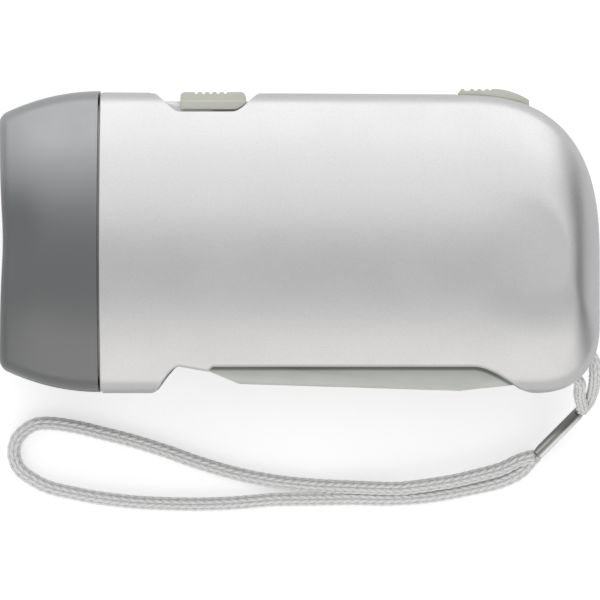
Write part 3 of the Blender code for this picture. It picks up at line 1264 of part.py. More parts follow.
def gear_train():
    """Two double gears and the rotor of the generator, which run on three fixed shafts."""
    pinion = meshing_phase(DRIVE_DIRECTION, PINION_TEETH)
    drive = gear("drive", DRIVE, PINION_TEETH, SECTOR_MODULE, pinion, DRIVE_PINION_LOW, DRIVE_LOW + WELD)
    wheel = gear("drive_wheel", DRIVE, DRIVE_TEETH, DRIVE_MODULE, SECOND_DIRECTION, DRIVE_LOW, DRIVE_HIGH)
    join(drive, wheel)
    bored(drive, DRIVE, DRIVE_PINION_LOW, DRIVE_HIGH)
    drive = finish(drive, "drive_gear", (0.85, 0.84, 0.8), 0.5)

    pinion = meshing_phase(SECOND_DIRECTION, PINION_TEETH)
    pinion_top = SECOND_LOW + WELD
    second = gear("second", SECOND, PINION_TEETH, DRIVE_MODULE, pinion, SECOND_PINION_LOW, pinion_top)
    wheel_phase = ROTOR_DIRECTION
    wheel = gear("second_wheel", SECOND, SECOND_TEETH, SECOND_MODULE, wheel_phase, SECOND_LOW, SECOND_HIGH)
    join(second, wheel)
    bored(second, SECOND, SECOND_PINION_LOW, SECOND_HIGH)
    second = finish(second, "second_gear", (0.85, 0.84, 0.8), 0.5)

    pinion = meshing_phase(ROTOR_DIRECTION, PINION_TEETH)
    hub = gear("hub", ROTOR, PINION_TEETH, SECOND_MODULE, pinion, ROTOR_PINION_LOW, SHOULDER_LOW + WELD)
    shoulder_radius = (PINION_TEETH / 2 + 3) * SECOND_MODULE
    shoulder = rod("hub_shoulder", ROTOR, SHOULDER_LOW, SHOULDER_HIGH, shoulder_radius)
    stem = rod("hub_stem", ROTOR, SHOULDER_HIGH - WELD, MAGNET_HIGH, ROTOR_HUB_RADIUS)
    join(hub, shoulder, stem)
    bored(hub, ROTOR, ROTOR_PINION_LOW, MAGNET_HIGH)
    hub = finish(hub, "rotor_hub", (0.85, 0.84, 0.8), 0.5)

    wheel_bore = ROTOR_HUB_RADIUS + GAP
    profile = ring_profile(wheel_bore, FLYWHEEL_RADIUS, FLYWHEEL_LOW, FLYWHEEL_HIGH)
    flywheel = turned("flywheel_ring", profile, (*ROTOR, 0), closed=True, steps=2 * ROUND_STEPS)
    flywheel = finish(flywheel, "flywheel", (0.6, 0.58, 0.52), 0.35, 1.0)
    profile = ring_profile(MAGNET_BORE_RADIUS, MAGNET_RADIUS, MAGNET_LOW, MAGNET_HIGH)
    magnet = turned("magnet_ring", profile, (*ROTOR, 0), closed=True, steps=2 * ROUND_STEPS)
    magnet = finish(magnet, "ring_magnet", (0.2, 0.2, 0.21), 0.5, 0.3)
    for name, place in (("drive_shaft", DRIVE), ("second_shaft", SECOND), ("rotor_shaft", ROTOR)):
        shaft(name, place)
    turning_point("drive_gear_axis", DRIVE, drive)
    turning_point("second_gear_axis", SECOND, second)
    turning_point("rotor_axis", ROTOR, hub, flywheel, magnet)


def ring_profile(bore, radius, low, high):
    return [(radius, high), (radius, low), (bore, low), (bore, high)]


def turning_point(name, place, *children):
    """An empty on a joint's axis, which carries the pieces that move about or along it."""
    empty = bpy.data.objects.new(name, None)
    empty.empty_display_size = PIVOT_HUB_RADIUS
    empty.location = (place[0], place[1], MID_Z)
    parts.objects.link(empty)
    bpy.context.view_layer.update()
    for child in children:
        child.parent = empty
        child.matrix_parent_inverse = empty.matrix_world.inverted()
    return empty


def generator():
    """The fixed core with its coil, and the plate that holds the free ends of the shafts."""
    shoe_in = MAGNET_RADIUS + CORE_AIR_GAP
    shoe_out = shoe_in + CORE_ARM_WIDTH
    half = CORE_SHOE_HALF_ANGLE
    leg = CORE_ARM_WIDTH / 2
    left = [on_circle(ROTOR, shoe_out, a) for a in np.linspace(-math.pi / 2, -math.pi / 2 - half, 5)]
    low_arc = [
        on_circle(ROTOR, shoe_in, a)
        for a in np.linspace(-math.pi / 2 - half, -math.pi / 2 + half, 11)
    ]
    corner = on_circle(ROTOR, shoe_in / math.cos(half), -math.pi / 2 + half)
    first, last = (CORE_X + leg, ROTOR[1] - shoe_out), (CORE_X - leg, ROTOR[1] - shoe_in)
    lower = [first, *left, *low_arc, corner, last]
    upper = [(x, 2 * ROTOR[1] - y) for x, y in reversed(lower)]
    core = plate("core", [lower + upper], CORE_LOW, CORE_HIGH)
    finish(core, "stator_core", (0.5, 0.5, 0.52), 0.45, 1.0)

    end = shoe_in - GAP
    inner_end = end - BOBBIN_FLANGE_THICKNESS
    tube_radius = BOBBIN_BORE_RADIUS + BOBBIN_TUBE_WALL
    profile = [
        (BOBBIN_FLANGE_RADIUS, end),
        (BOBBIN_FLANGE_RADIUS, inner_end),
        (tube_radius, inner_end),
        (tube_radius, -inner_end),
        (BOBBIN_FLANGE_RADIUS, -inner_end),
        (BOBBIN_FLANGE_RADIUS, -end),
        (BOBBIN_BORE_RADIUS, -end),
        (BOBBIN_BORE_RADIUS, end),
    ]
    place = (CORE_X, ROTOR[1], CORE_MIDDLE)
    lie = (math.pi / 2, 0, 0)
    finish(turned("bobbin", profile, place, lie, closed=True), "coil_bobbin", (0.15, 0.15, 0.16), 0.5)
    profile = ring_profile(tube_radius + GAP, WINDING_RADIUS, GAP - inner_end, inner_end - GAP)
    winding = turned("winding", profile, place, lie, closed=True)
    finish(winding, "coil_winding", (0.72, 0.35, 0.16), 0.35, 1.0)

    outline = round_around([*PLATE_POSTS, DRIVE, SECOND, ROTOR], PLATE_MARGIN)
    holes = [hole_outline(c, AXLE_RADIUS + GAP) for c in (DRIVE, SECOND, ROTOR)]
    holes += [hole_outline(c, PLATE_SCREW_RADIUS + GAP) for c in PLATE_POSTS]
    shaft_plate = plate("shaft_plate", [outline, *holes], PLATE_LOW, PLATE_HIGH)
    finish(shaft_plate, "gear_plate", (0.3, 0.3, 0.31), 0.5)
    for k, place in enumerate(PLATE_POSTS):
        under = PLATE_HIGH + GAP
        screw(f"plate_screw_{k + 1}", place, under - PLATE_SCREW_LENGTH, under, PLATE_SCREW_RADIUS,
              PLATE_SCREW_HEAD_RADIUS, PLATE_SCREW_HEAD_HEIGHT)


def hole_outline(centre, radius):
    turn = np.linspace(0, 2 * math.pi, SMALL_ROUND_STEPS, endpoint=False)
    return [on_circle(centre, radius, a) for a in turn]


def screw(name, place, tip, under, radius, head_radius, head_height):
    """A pointed screw from its tip to the underside of its head, which has a cross recess."""
    way = 1 if under > tip else -1
    length = abs(under - tip)
    top = length + head_height
    profile = [
        (0, top),
        (head_radius, top),
        (head_radius, length),
        (radius, length),
        (radius, SCREW_POINT),
        (0, 0),
    ]
    turn = None if way > 0 else (math.pi, 0, 0)
    shape = turned(name + "_shape", profile, (*place, tip), turn, SMALL_ROUND_STEPS)
    face = under + way * head_height
    arm, thin = head_radius * CROSS_LENGTH_SHARE, head_radius * CROSS_WIDTH_SHARE
    floor = face - way * head_height * CROSS_DEPTH_SHARE
    outer = face + way * OVERRUN
    slots = []
    for k, (across, along) in enumerate(((arm, thin), (thin, arm))):
        slots.append(
            block(
                f"{name}_slot_{k}",
                (place[0] - across, place[1] - along, min(floor, outer)),
                (place[0] + across, place[1] + along, max(floor, outer)),
            )
        )
    cut(shape, *slots)
    return finish(shape, name, (0.62, 0.62, 0.64), 0.3, 1.0)


def case_screws():
    for k, place in enumerate(SCREW_PLACES):
        under = SCREW_SEAT_OFF - 2 * GAP
        screw(f"case_screw_{k + 1}", place, SCREW_TIP_OFF, under, SCREW_RADIUS,
              SCREW_HEAD_RADIUS, SCREW_HEAD_HEIGHT)


def power_slider():
    """The ridged thumb slider over the recess, with the switch knob that it carries along."""
    rear_x = SLIDER_FRONT_X + SLIDER_LENGTH
    inner = PLATFORM_HALF_WIDTH + GAP
    half = inner + SLIDER_BLOCK_WALL
    top = SLIDER_BASE_Y + SLIDER_HEIGHT
    low = SLIDER_BASE_Y - SLIDER_LEDGE - SLIDER_LAP
    first_x = SLIDER_FRONT_X + SLIDER_LENGTH * RIDGE_FIRST_SHARE
    ridges = []
    for k in range(RIDGE_COUNT + 1):
        x = first_x + RIDGE_PITCH * (k - 1 / 2)
        quarter = RIDGE_PITCH / 4
        ridges += [(x - quarter, top), (x - quarter / 2, top - RIDGE_DEPTH)]
        ridges += [(x + quarter / 2, top - RIDGE_DEPTH), (x + quarter, top)]
    outline = [
        (SLIDER_FRONT_X, low),
        (SLIDER_FRONT_X, top - SLIDER_ROUND),
        (SLIDER_FRONT_X + SLIDER_ROUND, top),
        *ridges,
        (rear_x - SLIDER_ROUND, top),
        (rear_x, top - SLIDER_ROUND),
        (rear_x, low),
    ]
    body = plate("slider_block", [outline], -half, half)
    skirt_low = SLIDER_BASE_Y - SLIDER_SKIRT_DROP
    skirt_top = SLIDER_BASE_Y - SLIDER_LEDGE
    scoop = scoop_outline(SCOOP_DEPTH, SCOOP_SLOPE, SCOOP_SLOPE, SCOOP_REAR_EXTRA)
    slope = [p for p in scoop[-9:-1]]
    xs = [x for x, _ in slope]
    ys = [y + SLIDER_CLEARANCE for _, y in slope]
    meet_x = float(np.interp(skirt_low, ys, xs))
    bend = [(x, float(np.interp(x, xs, ys))) for x in np.linspace(meet_x, rear_x, 5)]
    skirt_outline = [(SLIDER_FRONT_X, skirt_low), *bend, (rear_x, skirt_top), (SLIDER_FRONT_X, skirt_top)]
    outer = inner + SLIDER_SKIRT_WALL
    skirts = [
        plate("near_skirt", [skirt_outline], inner, outer),
        plate("far_skirt", [skirt_outline], -outer, -inner),
    ]
    stem_low = (SLIDER_MIDDLE_X - STEM_HALF_LENGTH, STEM_LOW_Y, -STEM_HALF_WIDTH)
    stem_high = (SLIDER_MIDDLE_X + STEM_HALF_LENGTH, top - SLIDER_ROUND, STEM_HALF_WIDTH)
    under = block(
        "slider_room",
        (SLIDER_FRONT_X - OVERRUN, low - OVERRUN, -inner),
        (rear_x + OVERRUN, SLIDER_BASE_Y, inner),
    )
    cut(body, under)
    join(body, *skirts, block("slider_stem", stem_low, stem_high))
    grip_x = KNOB_HALF_LENGTH + GAP
    notch = block(
        "knob_notch",
        (SLIDER_MIDDLE_X - grip_x, STEM_LOW_Y - OVERRUN, -STEM_HALF_WIDTH - OVERRUN),
        (SLIDER_MIDDLE_X + grip_x, STEM_LOW_Y + KNOB_GRIP, STEM_HALF_WIDTH + OVERRUN),
    )
    cut(body, notch)
    slider = finish(body, "power_slider", (0.72, 0.71, 0.67), 0.5)
    pit_y = SWITCH_LOW_Y + SWITCH_WALL
    knob = block(
        "knob",
        (SLIDER_MIDDLE_X - KNOB_HALF_LENGTH, pit_y + GAP, -KNOB_HALF_WIDTH),
        (SLIDER_MIDDLE_X + KNOB_HALF_LENGTH, STEM_LOW_Y + KNOB_GRIP - GAP, KNOB_HALF_WIDTH),
    )
    knob = finish(knob, "switch_knob", (0.1, 0.1, 0.1), 0.5)
    turning_point("power_slide_axis", (SLIDER_MIDDLE_X, SLIDER_BASE_Y), slider, knob)


def electrics():
    """Switch, circuit board, charging chip and battery, fixed inside the case."""
    middle_x = SLIDER_MIDDLE_X - SLIDER_TRAVEL / 2
    switch = block(
        "switch_box",
        (middle_x - SWITCH_LENGTH / 2, SWITCH_LOW_Y, -SWITCH_HALF_WIDTH),
        (middle_x + SWITCH_LENGTH / 2, SWITCH_TOP_Y, SWITCH_HALF_WIDTH),
    )
    pit_front_x = SLIDER_MIDDLE_X - KNOB_HALF_LENGTH - SLIDER_TRAVEL - GAP
    pit = block(
        "switch_pit",
        (pit_front_x, SWITCH_LOW_Y + SWITCH_WALL, -KNOB_HALF_WIDTH - GAP),
        (SLIDER_MIDDLE_X + KNOB_HALF_LENGTH + GAP, SWITCH_TOP_Y + OVERRUN, KNOB_HALF_WIDTH + GAP),
    )
    cut(switch, pit)
    finish(switch, "slide_switch", (0.6, 0.6, 0.62), 0.35, 0.8)
    rear_x = BOARD_FRONT_X + BOARD_LENGTH
    board = block(
        "board",
        (BOARD_FRONT_X + GAP, BOARD_LOW_Y, -BOARD_HALF_WIDTH),
        (rear_x - GAP, BOARD_TOP_Y, BOARD_HALF_WIDTH),
    )
    finish(board, "circuit_board", (0.1, 0.35, 0.16), 0.5)
    chip_x = rear_x - BOARD_RIB_LENGTH - CHIP_LENGTH
    chip = block(
        "chip",
        (chip_x, BOARD_LOW_Y - GAP - CHIP_HEIGHT, -CHIP_HALF_WIDTH),
        (chip_x + CHIP_LENGTH, BOARD_LOW_Y - GAP, CHIP_HALF_WIDTH),
    )
    finish(chip, "charge_chip", (0.05, 0.05, 0.05), 0.4)
    cell = 2 * BATTERY_HALF_LENGTH / CELL_COUNT
    profile = [(0, BATTERY_HALF_LENGTH), (BATTERY_RADIUS, BATTERY_HALF_LENGTH)]
    for k in range(1, CELL_COUNT):
        joint = BATTERY_HALF_LENGTH - cell * k
        profile += [(BATTERY_RADIUS, joint + CELL_GROOVE), (BATTERY_RADIUS - CELL_GROOVE, joint)]
        profile.append((BATTERY_RADIUS, joint - CELL_GROOVE))
    profile += [(BATTERY_RADIUS, -BATTERY_HALF_LENGTH), (0, -BATTERY_HALF_LENGTH)]
    place = (BATTERY_X, BATTERY_Y, 0)
    finish(turned("cells", profile, place, steps=2 * ROUND_STEPS), "battery_pack", (0.3, 0.5, 0.3), 0.4)
    for name, route, count in (
        ("lamp_lead", LAMP_LEAD_ROUTE, 10),
        ("battery_lead", BATTERY_LEAD_ROUTE, 8),
        ("coil_lead", COIL_LEAD_ROUTE, 28),
    ):
        points = smooth_path(route, count)
        points[:, 2] += MID_Z
        finish(tube(name, points, WIRE_RADIUS), name, (0.6, 0.1, 0.08), 0.5)


def lock_slider():
    """The ribbed slider behind the top of the case, with the hook that reaches down inside."""
    xs = np.linspace(LOCK_FRONT_X, LOCK_FRONT_X + LOCK_LENGTH, 9)
    under = [(x, case_top_y(x) - LOCK_BED_DEPTH + SLIDER_CLEARANCE) for x in xs]
    base = LOCK_TOP_Y - LOCK_BUMP_RISE
    top = [(LOCK_FRONT_X, base - LOCK_BUMP_RISE)]
    for length in LOCK_BUMP_LENGTHS:
        x = LOCK_FRONT_X + length
        top += [(x - LOCK_BUMP_RADIUS, base), (x - LOCK_BUMP_RADIUS / 2, LOCK_TOP_Y)]
        top += [(x + LOCK_BUMP_RADIUS / 2, LOCK_TOP_Y), (x + LOCK_BUMP_RADIUS, base)]
    wedge_x = LOCK_FRONT_X + LOCK_LENGTH * LOCK_WEDGE_SHARE
    for share in np.linspace(0, 1, 8):
        x = wedge_x + (LOCK_FRONT_X + LOCK_LENGTH - wedge_x) * share
        top.append((x, LOCK_TOP_Y - LOCK_TIP_DROP * share**LOCK_WEDGE_EXPONENT))
    body = plate("lock_plate", [under[::-1] + top], -LOCK_HALF_WIDTH, LOCK_HALF_WIDTH)
    stem_x = LOCK_FRONT_X + LOCK_STEM_FRONT
    bar_low = LOCK_BAR_TOP_Y - LOCK_BAR_HEIGHT
    leg_high = LOCK_LEG_OFF + LOCK_LEG_THICKNESS / 2
    leg_low = leg_high - LOCK_LEG_THICKNESS
    hook_y = PIVOT_Y + POST_RISE - NOSE_HEIGHT
    bar_x = stem_x + LOCK_BAR_LENGTH
    stem = block(
        "lock_stem",
        (stem_x, bar_low, -LOCK_STEM_HALF_WIDTH),
        (stem_x + LOCK_STEM_LENGTH, LOCK_TOP_Y - LOCK_TIP_DROP, LOCK_STEM_HALF_WIDTH),
    )
    bar_start = (stem_x + WELD, bar_low, -LOCK_STEM_HALF_WIDTH + WELD)
    bar = block("lock_bar", bar_start, (bar_x, LOCK_BAR_TOP_Y, leg_high))
    leg = block(
        "lock_leg",
        (bar_x - LOCK_LEG_WIDTH, hook_y - LOCK_HOOK_HEIGHT, leg_low),
        (bar_x - WELD, LOCK_BAR_TOP_Y - WELD, leg_high - WELD),
    )
    hook = block(
        "lock_hook",
        (bar_x - LOCK_LEG_WIDTH - LOCK_HOOK_REACH, hook_y - LOCK_HOOK_HEIGHT + WELD, leg_low + WELD),
        (bar_x - LOCK_LEG_WIDTH / 2, hook_y, leg_high - 2 * WELD),
    )
    join(body, stem, bar, leg, hook)
    slider = finish(body, "lock_slider", (0.7, 0.69, 0.65), 0.5)
    turning_point("lock_slide_axis", (LOCK_FRONT_X + LOCK_LENGTH / 2, case_top_y(LOCK_FRONT_X)), slider)


def strap():
    """The bar in the eye, the cord through it, the crimp, and the loop for the wrist."""
    bar = rod("bar", (BAR_X, BAR_Y), -BAR_HALF_LENGTH, BAR_HALF_LENGTH, BAR_RADIUS, SMALL_ROUND_STEPS)
    finish(bar, "strap_bar", (0.7, 0.7, 0.72), 0.3, 1.0)
    start, end = Vector(CRIMP_EYE_END), Vector(CRIMP_WRIST_END)
    way = (end - start).normalized()
    across = way.cross(Vector((0, 0, 1))).normalized()
    turn = Matrix((across, way.cross(across), way)).transposed().to_4x4()
    half_across, half_up = CRIMP_HEIGHT / 2, CRIMP_WIDTH / 2
    groove = CRIMP_GROOVE
    section = [(half_across, s * half_up) for s in CRIMP_SECTION_SHARES]
    section = [(x - (groove if k % 2 else 0), y) for k, (x, y) in enumerate(section)]
    section += [(-x, -y) for x, y in section]
    bm = bmesh.new()
    rings = []
    for along in (-CRIMP_LENGTH / 2, CRIMP_LENGTH / 2):
        rings.append([bm.verts.new((x, y, along)) for x, y in section])
    count = len(section)
    for i in range(count):
        j = (i + 1) % count
        bm.faces.new((rings[0][i], rings[0][j], rings[1][j], rings[1][i]))
    bm.faces.new(rings[0][::-1])
    bm.faces.new(rings[1])
    bm.transform(Matrix.Translation((start + end) / 2) @ turn)
    finish(helper("crimp", bm), "strap_crimp", (0.72, 0.72, 0.74), 0.25, 1.0)
    for name, route, count in (
        ("strap_eye_loop", EYE_LOOP_ROUTE, 26),
        ("strap_wrist_loop", WRIST_LOOP_ROUTE, 56),
    ):
        points = smooth_path(route, count)
        finish(tube(name, points, CORD_WIDTH / 2), name, (0.8, 0.8, 0.79), 0.8)


def main():
    clear_scene()
    case_half(1)
    case_half(-1)
    head_pieces()
    lever_body = lever()
    lever_fittings()
    turning_point("lever_axis", PIVOT, lever_body)
    gear_train()
    generator()
    case_screws()
    power_slider()
    electrics()
    lock_slider()
    strap()


main()
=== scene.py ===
"""Dresses the hand-press dynamo torch with its paint, plastics, metals and wrist cord.

The torch lies on its side. The head points to -X, the sliders face +Y, the lever faces -Y, and
"off" is the height above the plane in which the two halves of the case meet.
"""

import contextlib
import json
import math

import bmesh
import bpy
import numpy as np
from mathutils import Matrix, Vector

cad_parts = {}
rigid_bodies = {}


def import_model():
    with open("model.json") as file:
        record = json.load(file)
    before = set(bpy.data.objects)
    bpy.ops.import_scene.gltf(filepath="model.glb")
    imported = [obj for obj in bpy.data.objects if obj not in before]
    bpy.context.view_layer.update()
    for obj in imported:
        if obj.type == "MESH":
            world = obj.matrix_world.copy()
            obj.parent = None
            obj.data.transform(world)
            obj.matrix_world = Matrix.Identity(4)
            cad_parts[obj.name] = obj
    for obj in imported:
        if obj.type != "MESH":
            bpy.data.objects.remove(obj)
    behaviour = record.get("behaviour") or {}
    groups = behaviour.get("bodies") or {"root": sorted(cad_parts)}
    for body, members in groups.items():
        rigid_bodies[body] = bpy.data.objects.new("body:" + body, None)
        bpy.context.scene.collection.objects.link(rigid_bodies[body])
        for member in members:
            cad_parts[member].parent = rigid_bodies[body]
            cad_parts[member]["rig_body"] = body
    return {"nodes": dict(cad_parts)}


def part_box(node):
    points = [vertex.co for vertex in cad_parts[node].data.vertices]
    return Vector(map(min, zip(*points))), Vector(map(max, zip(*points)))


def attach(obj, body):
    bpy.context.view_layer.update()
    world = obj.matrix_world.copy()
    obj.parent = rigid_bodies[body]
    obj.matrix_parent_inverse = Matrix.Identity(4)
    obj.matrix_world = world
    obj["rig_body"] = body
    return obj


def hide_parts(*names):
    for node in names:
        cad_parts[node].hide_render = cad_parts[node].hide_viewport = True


bl_info = {
    "name": "Hand-press dynamo torch",
    "version": (1, 0, 0),
    "blender": (4, 5, 0),
    "location": "View3D > Sidebar > Torch",
    "description": "Builds the visible surfaces of a hand-press dynamo torch and its stage",
    "category": "Object",
}

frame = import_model()
NODES = frame["nodes"]
CASE_SCREWS = [f"case_screw_{k}" for k in range(1, 5)]
PLATE_SCREWS = [f"plate_screw_{k}" for k in range(1, 4)]
LAMPS = [f"led_{k}" for k in range(1, 4)]

# Lengths below are in millimetres, and MM turns them into metres
MM = 0.001
MIDDLE = 19.0
WELD = 1e-7
GAP = 0.3
BEVEL = 0.15

# The case's side view and crown, as the solids have them
SEAM_X = -34.0
TAIL_X = 51.5
TOP_Y = 25.75
TOP_DROP = 0.35
BOTTOM_Y = -26.15
TOP_CORNER = (24.5, 29.35, 2.7)
BOTTOM_CORNER = (11.5, 12.15, 2.5)
PANEL_HALF = 8.2
PANEL_TAIL_INSET = 6.2
PANEL_CORNER_DROP = 1.0
CROWN_WIDTH = TOP_Y - PANEL_HALF
CROWN_LOW = 11.6
DOME = 0.73
CROWN_WALL = (0.034, 0.046, 0.17)
CROWN_CORNER = 2.2
LIP_OFF = 6.45
LOCK_BED = (-0.3, 14.8, 0.8)
TOP_CORNER_X = TAIL_X - TOP_CORNER[0]
LOW_CORNER_X = TAIL_X - BOTTOM_CORNER[0]

# Recess of the power slider as front, rear, slope and depth, and the slot of the lever
RECESS = (-26.1, -6.3, 2.6, 1.8)
SCOOP = (-26.1, -5.5, 6.0, 3.75)
PLATFORM_HALF = 6.5
SLOT_X = (-25.6, -20.4, 29.5, 41.0)
SLOT_Y = -21.75
SLOT_DIP = (-15.6, -14.7, 0.85)

# Head
HEAD_FRONT_X = -51.5
HEAD_REAR = 25.95
HEAD_TAPER = (4.1, 2.1)
SET_BACK = 1.3
SET_BACK_LENGTH = 9.0
HEAD_FLATNESS = MIDDLE / HEAD_REAR
HEAD_EDGE = 1.1
HEAD_WALL = 1.8
HEAD_LIP = (2.5, 3.3)
DIMPLE_SIZE = 6.5
DIMPLE_SET_BACK = 0.45
# Middle and size of the painted shade on each side of the head's front
FRONT_SHADE_PLACE = (-49.0, -1.0)
FRONT_SHADE_SIZE = (9.0, 11.0, 11.0)
COLLAR_X = (-38.5, -32.0)
COLLAR_INSETS = (2.1, 1.0, 3.6)

# Reflector and lamps
REFLECTOR_INSET = 2.1
REFLECTOR_SHEET = 0.8
SKIRT_WALL = 1.0
CUP_RADII = (6.5, 3.2)
LAMP_STANDOFF = 1.3
LAMP_RADIUS = 2.5

# Cuts in the case: x from and to, y from and to, and height over the parting plane. x counts from
# the power slider's middle for the first two, and from the lock slider's front for the third.
STEM_SLOT = (-5.2, 2.3, 18.0, 25.0, 1.9)
SIDE_NOOK = (-8.75, 0.0, 22.25, 26.5, 8.6)
LOCK_SLOT = (6.9, 12.0, 15.0, 27.0, 2.3)
BELOW = -1.0

# The strap's eye, and the radius and height of the block round it
EYE_RADIUS = 3.85
EYE_HALF = 5.2
EYE_BLOCK = (5.65, 8.5)
EYE_BLOCK_INSET = 1.0

# Bosses in the case. The pin's and the cells' posts are a radius and the height of the foot over
# the parting plane, the cradle has bore, radius, foot and top, and the plate's post bore and radius.
BOSS_FOOT = 0.15
SCREW_BORE = 1.4
SCREW_BOSS_RADIUS = 2.9
WELL_RADIUS = 2.4
WELL_FLOOR = 9.3
WELL_CUT_TOP = 9.7
PIN_BOSS = (3.2, 10.8)
CELL_POST = (3.0, 9.3)
CELL_CRADLE = (8.05, 9.25, 4.7, 17.5)
SHAFT_BOSS_RADIUS = 2.4
PLATE_POST = (1.0, 2.2)
CORE_POST_RADIUS = 1.5
RIB_WIDTH = 2.4
RIB_INSET = 1.2
RIB_HEIGHTS = (8.8, 10.3, 15.5)

# Points round the cord, their spacing along it, and its rows of stitches
CORD_STEPS = 56
CORD_SPACING = 0.17
BRAID_ROWS = 8

# Pitch of the coil's wire, and the length over which a wave texture repeats
WIRE_PITCH = 0.32
WAVE_PERIOD = 0.314

# Routes of the cord, as the solids have them
EYE_ROUTE = (
    (49.4, -29.1, 6.0), (50.4, -28.0, 6.9), (51.0, -26.0, 10.8), (51.1, -23.4, 16.4),
    (50.7, -20.3, 19.1), (48.6, -18.8, 19.2), (46.7, -19.8, 19.1), (46.3, -21.4, 19.0),
    (46.9, -22.9, 18.3), (48.45, -24.4, 16.8), (48.6, -26.2, 12.6), (49.1, -28.0, 9.4),
    (49.4, -28.9, 8.2), (49.2, -29.3, 7.65),
)
WRIST_ROUTE = (
    (41.3, -37.5, 3.0), (40.1, -37.7, 2.9), (38.2, -38.3, 2.8), (35.2, -39.7, 2.9),
    (30.3, -41.0, 3.2), (26.3, -41.9, 3.3), (19.4, -42.9, 3.1), (16.1, -43.1, 2.8),
    (9.4, -42.9, 2.0), (2.75, -42.6, 1.3), (-4.1, -41.9, 1.3), (-10.8, -40.6, 1.3),
    (-17.4, -38.7, 1.3), (-23.4, -36.6, 1.3), (-29.2, -34.8, 1.3), (-35.1, -33.3, 1.3),
    (-39.4, -32.3, 1.3), (-43.8, -31.7, 1.3), (-46.8, -32.1, 1.3), (-49.2, -34.0, 1.3),
    (-50.0, -35.9, 1.3), (-50.0, -37.6, 1.3), (-49.2, -39.6, 1.3), (-47.3, -41.2, 1.3),
    (-44.0, -42.9, 1.3), (-39.4, -44.0, 1.3), (-35.1, -44.8, 1.3), (-29.2, -45.5, 1.3),
    (-23.4, -45.8, 1.3), (-17.6, -45.9, 1.3), (-11.8, -45.7, 1.3), (-6.9, -45.3, 1.3),
    (-4.1, -45.1, 1.3), (2.75, -45.0, 1.3), (9.4, -44.9, 1.3), (16.1, -45.0, 1.3),
    (22.9, -44.5, 1.3), (29.6, -43.3, 1.3), (35.2, -42.0, 1.3), (38.7, -40.3, 1.5),
    (40.6, -38.3, 1.5), (41.7, -37.1, 1.6),
)


# Places in the frame

def corners(node):
    """Lowest and highest corner of a node's box, in mm."""
    low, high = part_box(node)
    return np.array(low) / MM, np.array(high) / MM


def middle_of(node):
    """Middle of a node's box, in mm."""
    low, high = corners(node)
    return (low + high) / 2


def levels(side, one, other):
    """Two heights over the parting plane, towards one side, as heights in the frame, lowest first."""
    return sorted((MIDDLE + side * one, MIDDLE + side * other))


# Surfaces

def round_pair(angle, power):
    """Cosine and sine of an angle, each raised to 2 / power with its sign kept: a superellipse."""
    c, s = np.cos(angle), np.sin(angle)
    return np.sign(c) * np.abs(c) ** (2 / power), np.sign(s) * np.abs(s) ** (2 / power)


def patch(points, wrap=False):
    """A grid of points (rows, columns, 3) in mm, as its vertices and quads.

    Quad (i, j) joins point (i, j) to the next row and the next column; wrap closes the columns.
    """
    rows, columns = points.shape[:2]
    index = np.arange(rows * columns).reshape(rows, columns)
    if wrap:
        index = np.hstack([index, index[:, :1]])
    quads = np.stack([index[:-1, :-1], index[1:, :-1], index[1:, 1:], index[:-1, 1:]], axis=-1)
    return points.reshape(-1, 3), quads.reshape(-1, 4)


def solid(name, patches, sharp=35.0, outward=True, **values):
    """One object from patches in mm: doubles merged, collapsed quads dropped, faces turned outwards.

    A named array of values becomes a point attribute.
    """
    points, quads, start = [], [], 0
    for grid, faces in patches:
        points.append(grid)
        quads.append(faces + start)
        start += len(grid)
    mesh = bpy.data.meshes.new(name)
    mesh.from_pydata((np.concatenate(points) * MM).tolist(), [], np.concatenate(quads).tolist())
    for key, array in values.items():
        mesh.attributes.new(key, "FLOAT", "POINT").data.foreach_set("value", array)
    with edited(mesh) as bm:
        bmesh.ops.remove_doubles(bm, verts=bm.verts, dist=WELD)
        bmesh.ops.dissolve_degenerate(bm, edges=bm.edges, dist=WELD)
        if outward:
            bmesh.ops.recalc_face_normals(bm, faces=bm.faces)
    smooth(mesh, sharp)
    return added(name, mesh)


@contextlib.contextmanager
def edited(mesh):
    """A mesh as a bmesh, which goes back into the mesh at the end."""
    bm = bmesh.new()
    bm.from_mesh(mesh)
    yield bm
    bm.to_mesh(mesh)
    bm.free()


def smooth(mesh, sharp):
    """Smooth shading, with edges over an angle in degrees kept sharp."""
    mesh.shade_smooth()
    mesh.set_sharp_from_angle(angle=math.radians(sharp))


def added(name, data):
    """A new object in the scene."""
    obj = bpy.data.objects.new(name, data)
    bpy.context.scene.collection.objects.link(obj)
    return obj


def drop(obj):
    """Removes a helper object and its mesh."""
    mesh = obj.data
    bpy.data.objects.remove(obj)
    bpy.data.meshes.remove(mesh)


def turned(profile, centre, steps=48, axis="Z"):
    """A (radius, height) profile carried once round an axis through centre."""
    profile = np.array(profile, float)
    angle = np.linspace(0, 2 * np.pi, steps, endpoint=False)
    radius, height = profile[:, 0, None], np.broadcast_to(profile[:, 1, None], (len(profile), steps))
    a, b = radius * np.cos(angle), radius * np.sin(angle)
    grid = np.stack({"Z": (a, b, height), "X": (height, a, b)}[axis], axis=-1)
    return patch(grid + np.array(centre, float), wrap=True)


def post(radius, low, high, bore=0.0):
    """Closed (radius, height) profile of a rod, or where bore isn't zero of a tube with small bevels."""
    if not bore:
        return [(0, low), (radius, low), (radius, high), (0, high)]
    in_bore, in_wall = bore + BEVEL, radius - BEVEL
    return [
        (bore, low + BEVEL), (in_bore, low), (in_wall, low), (radius, low + BEVEL),
        (radius, high - BEVEL), (in_wall, high), (in_bore, high), (bore, high - BEVEL), (bore, low + BEVEL),
    ]


def cap(loop, wrap=True):
    """A loop of points drawn in to its middle."""
    return patch(np.stack([loop, np.broadcast_to(loop.mean(axis=0), loop.shape)]), wrap=wrap)


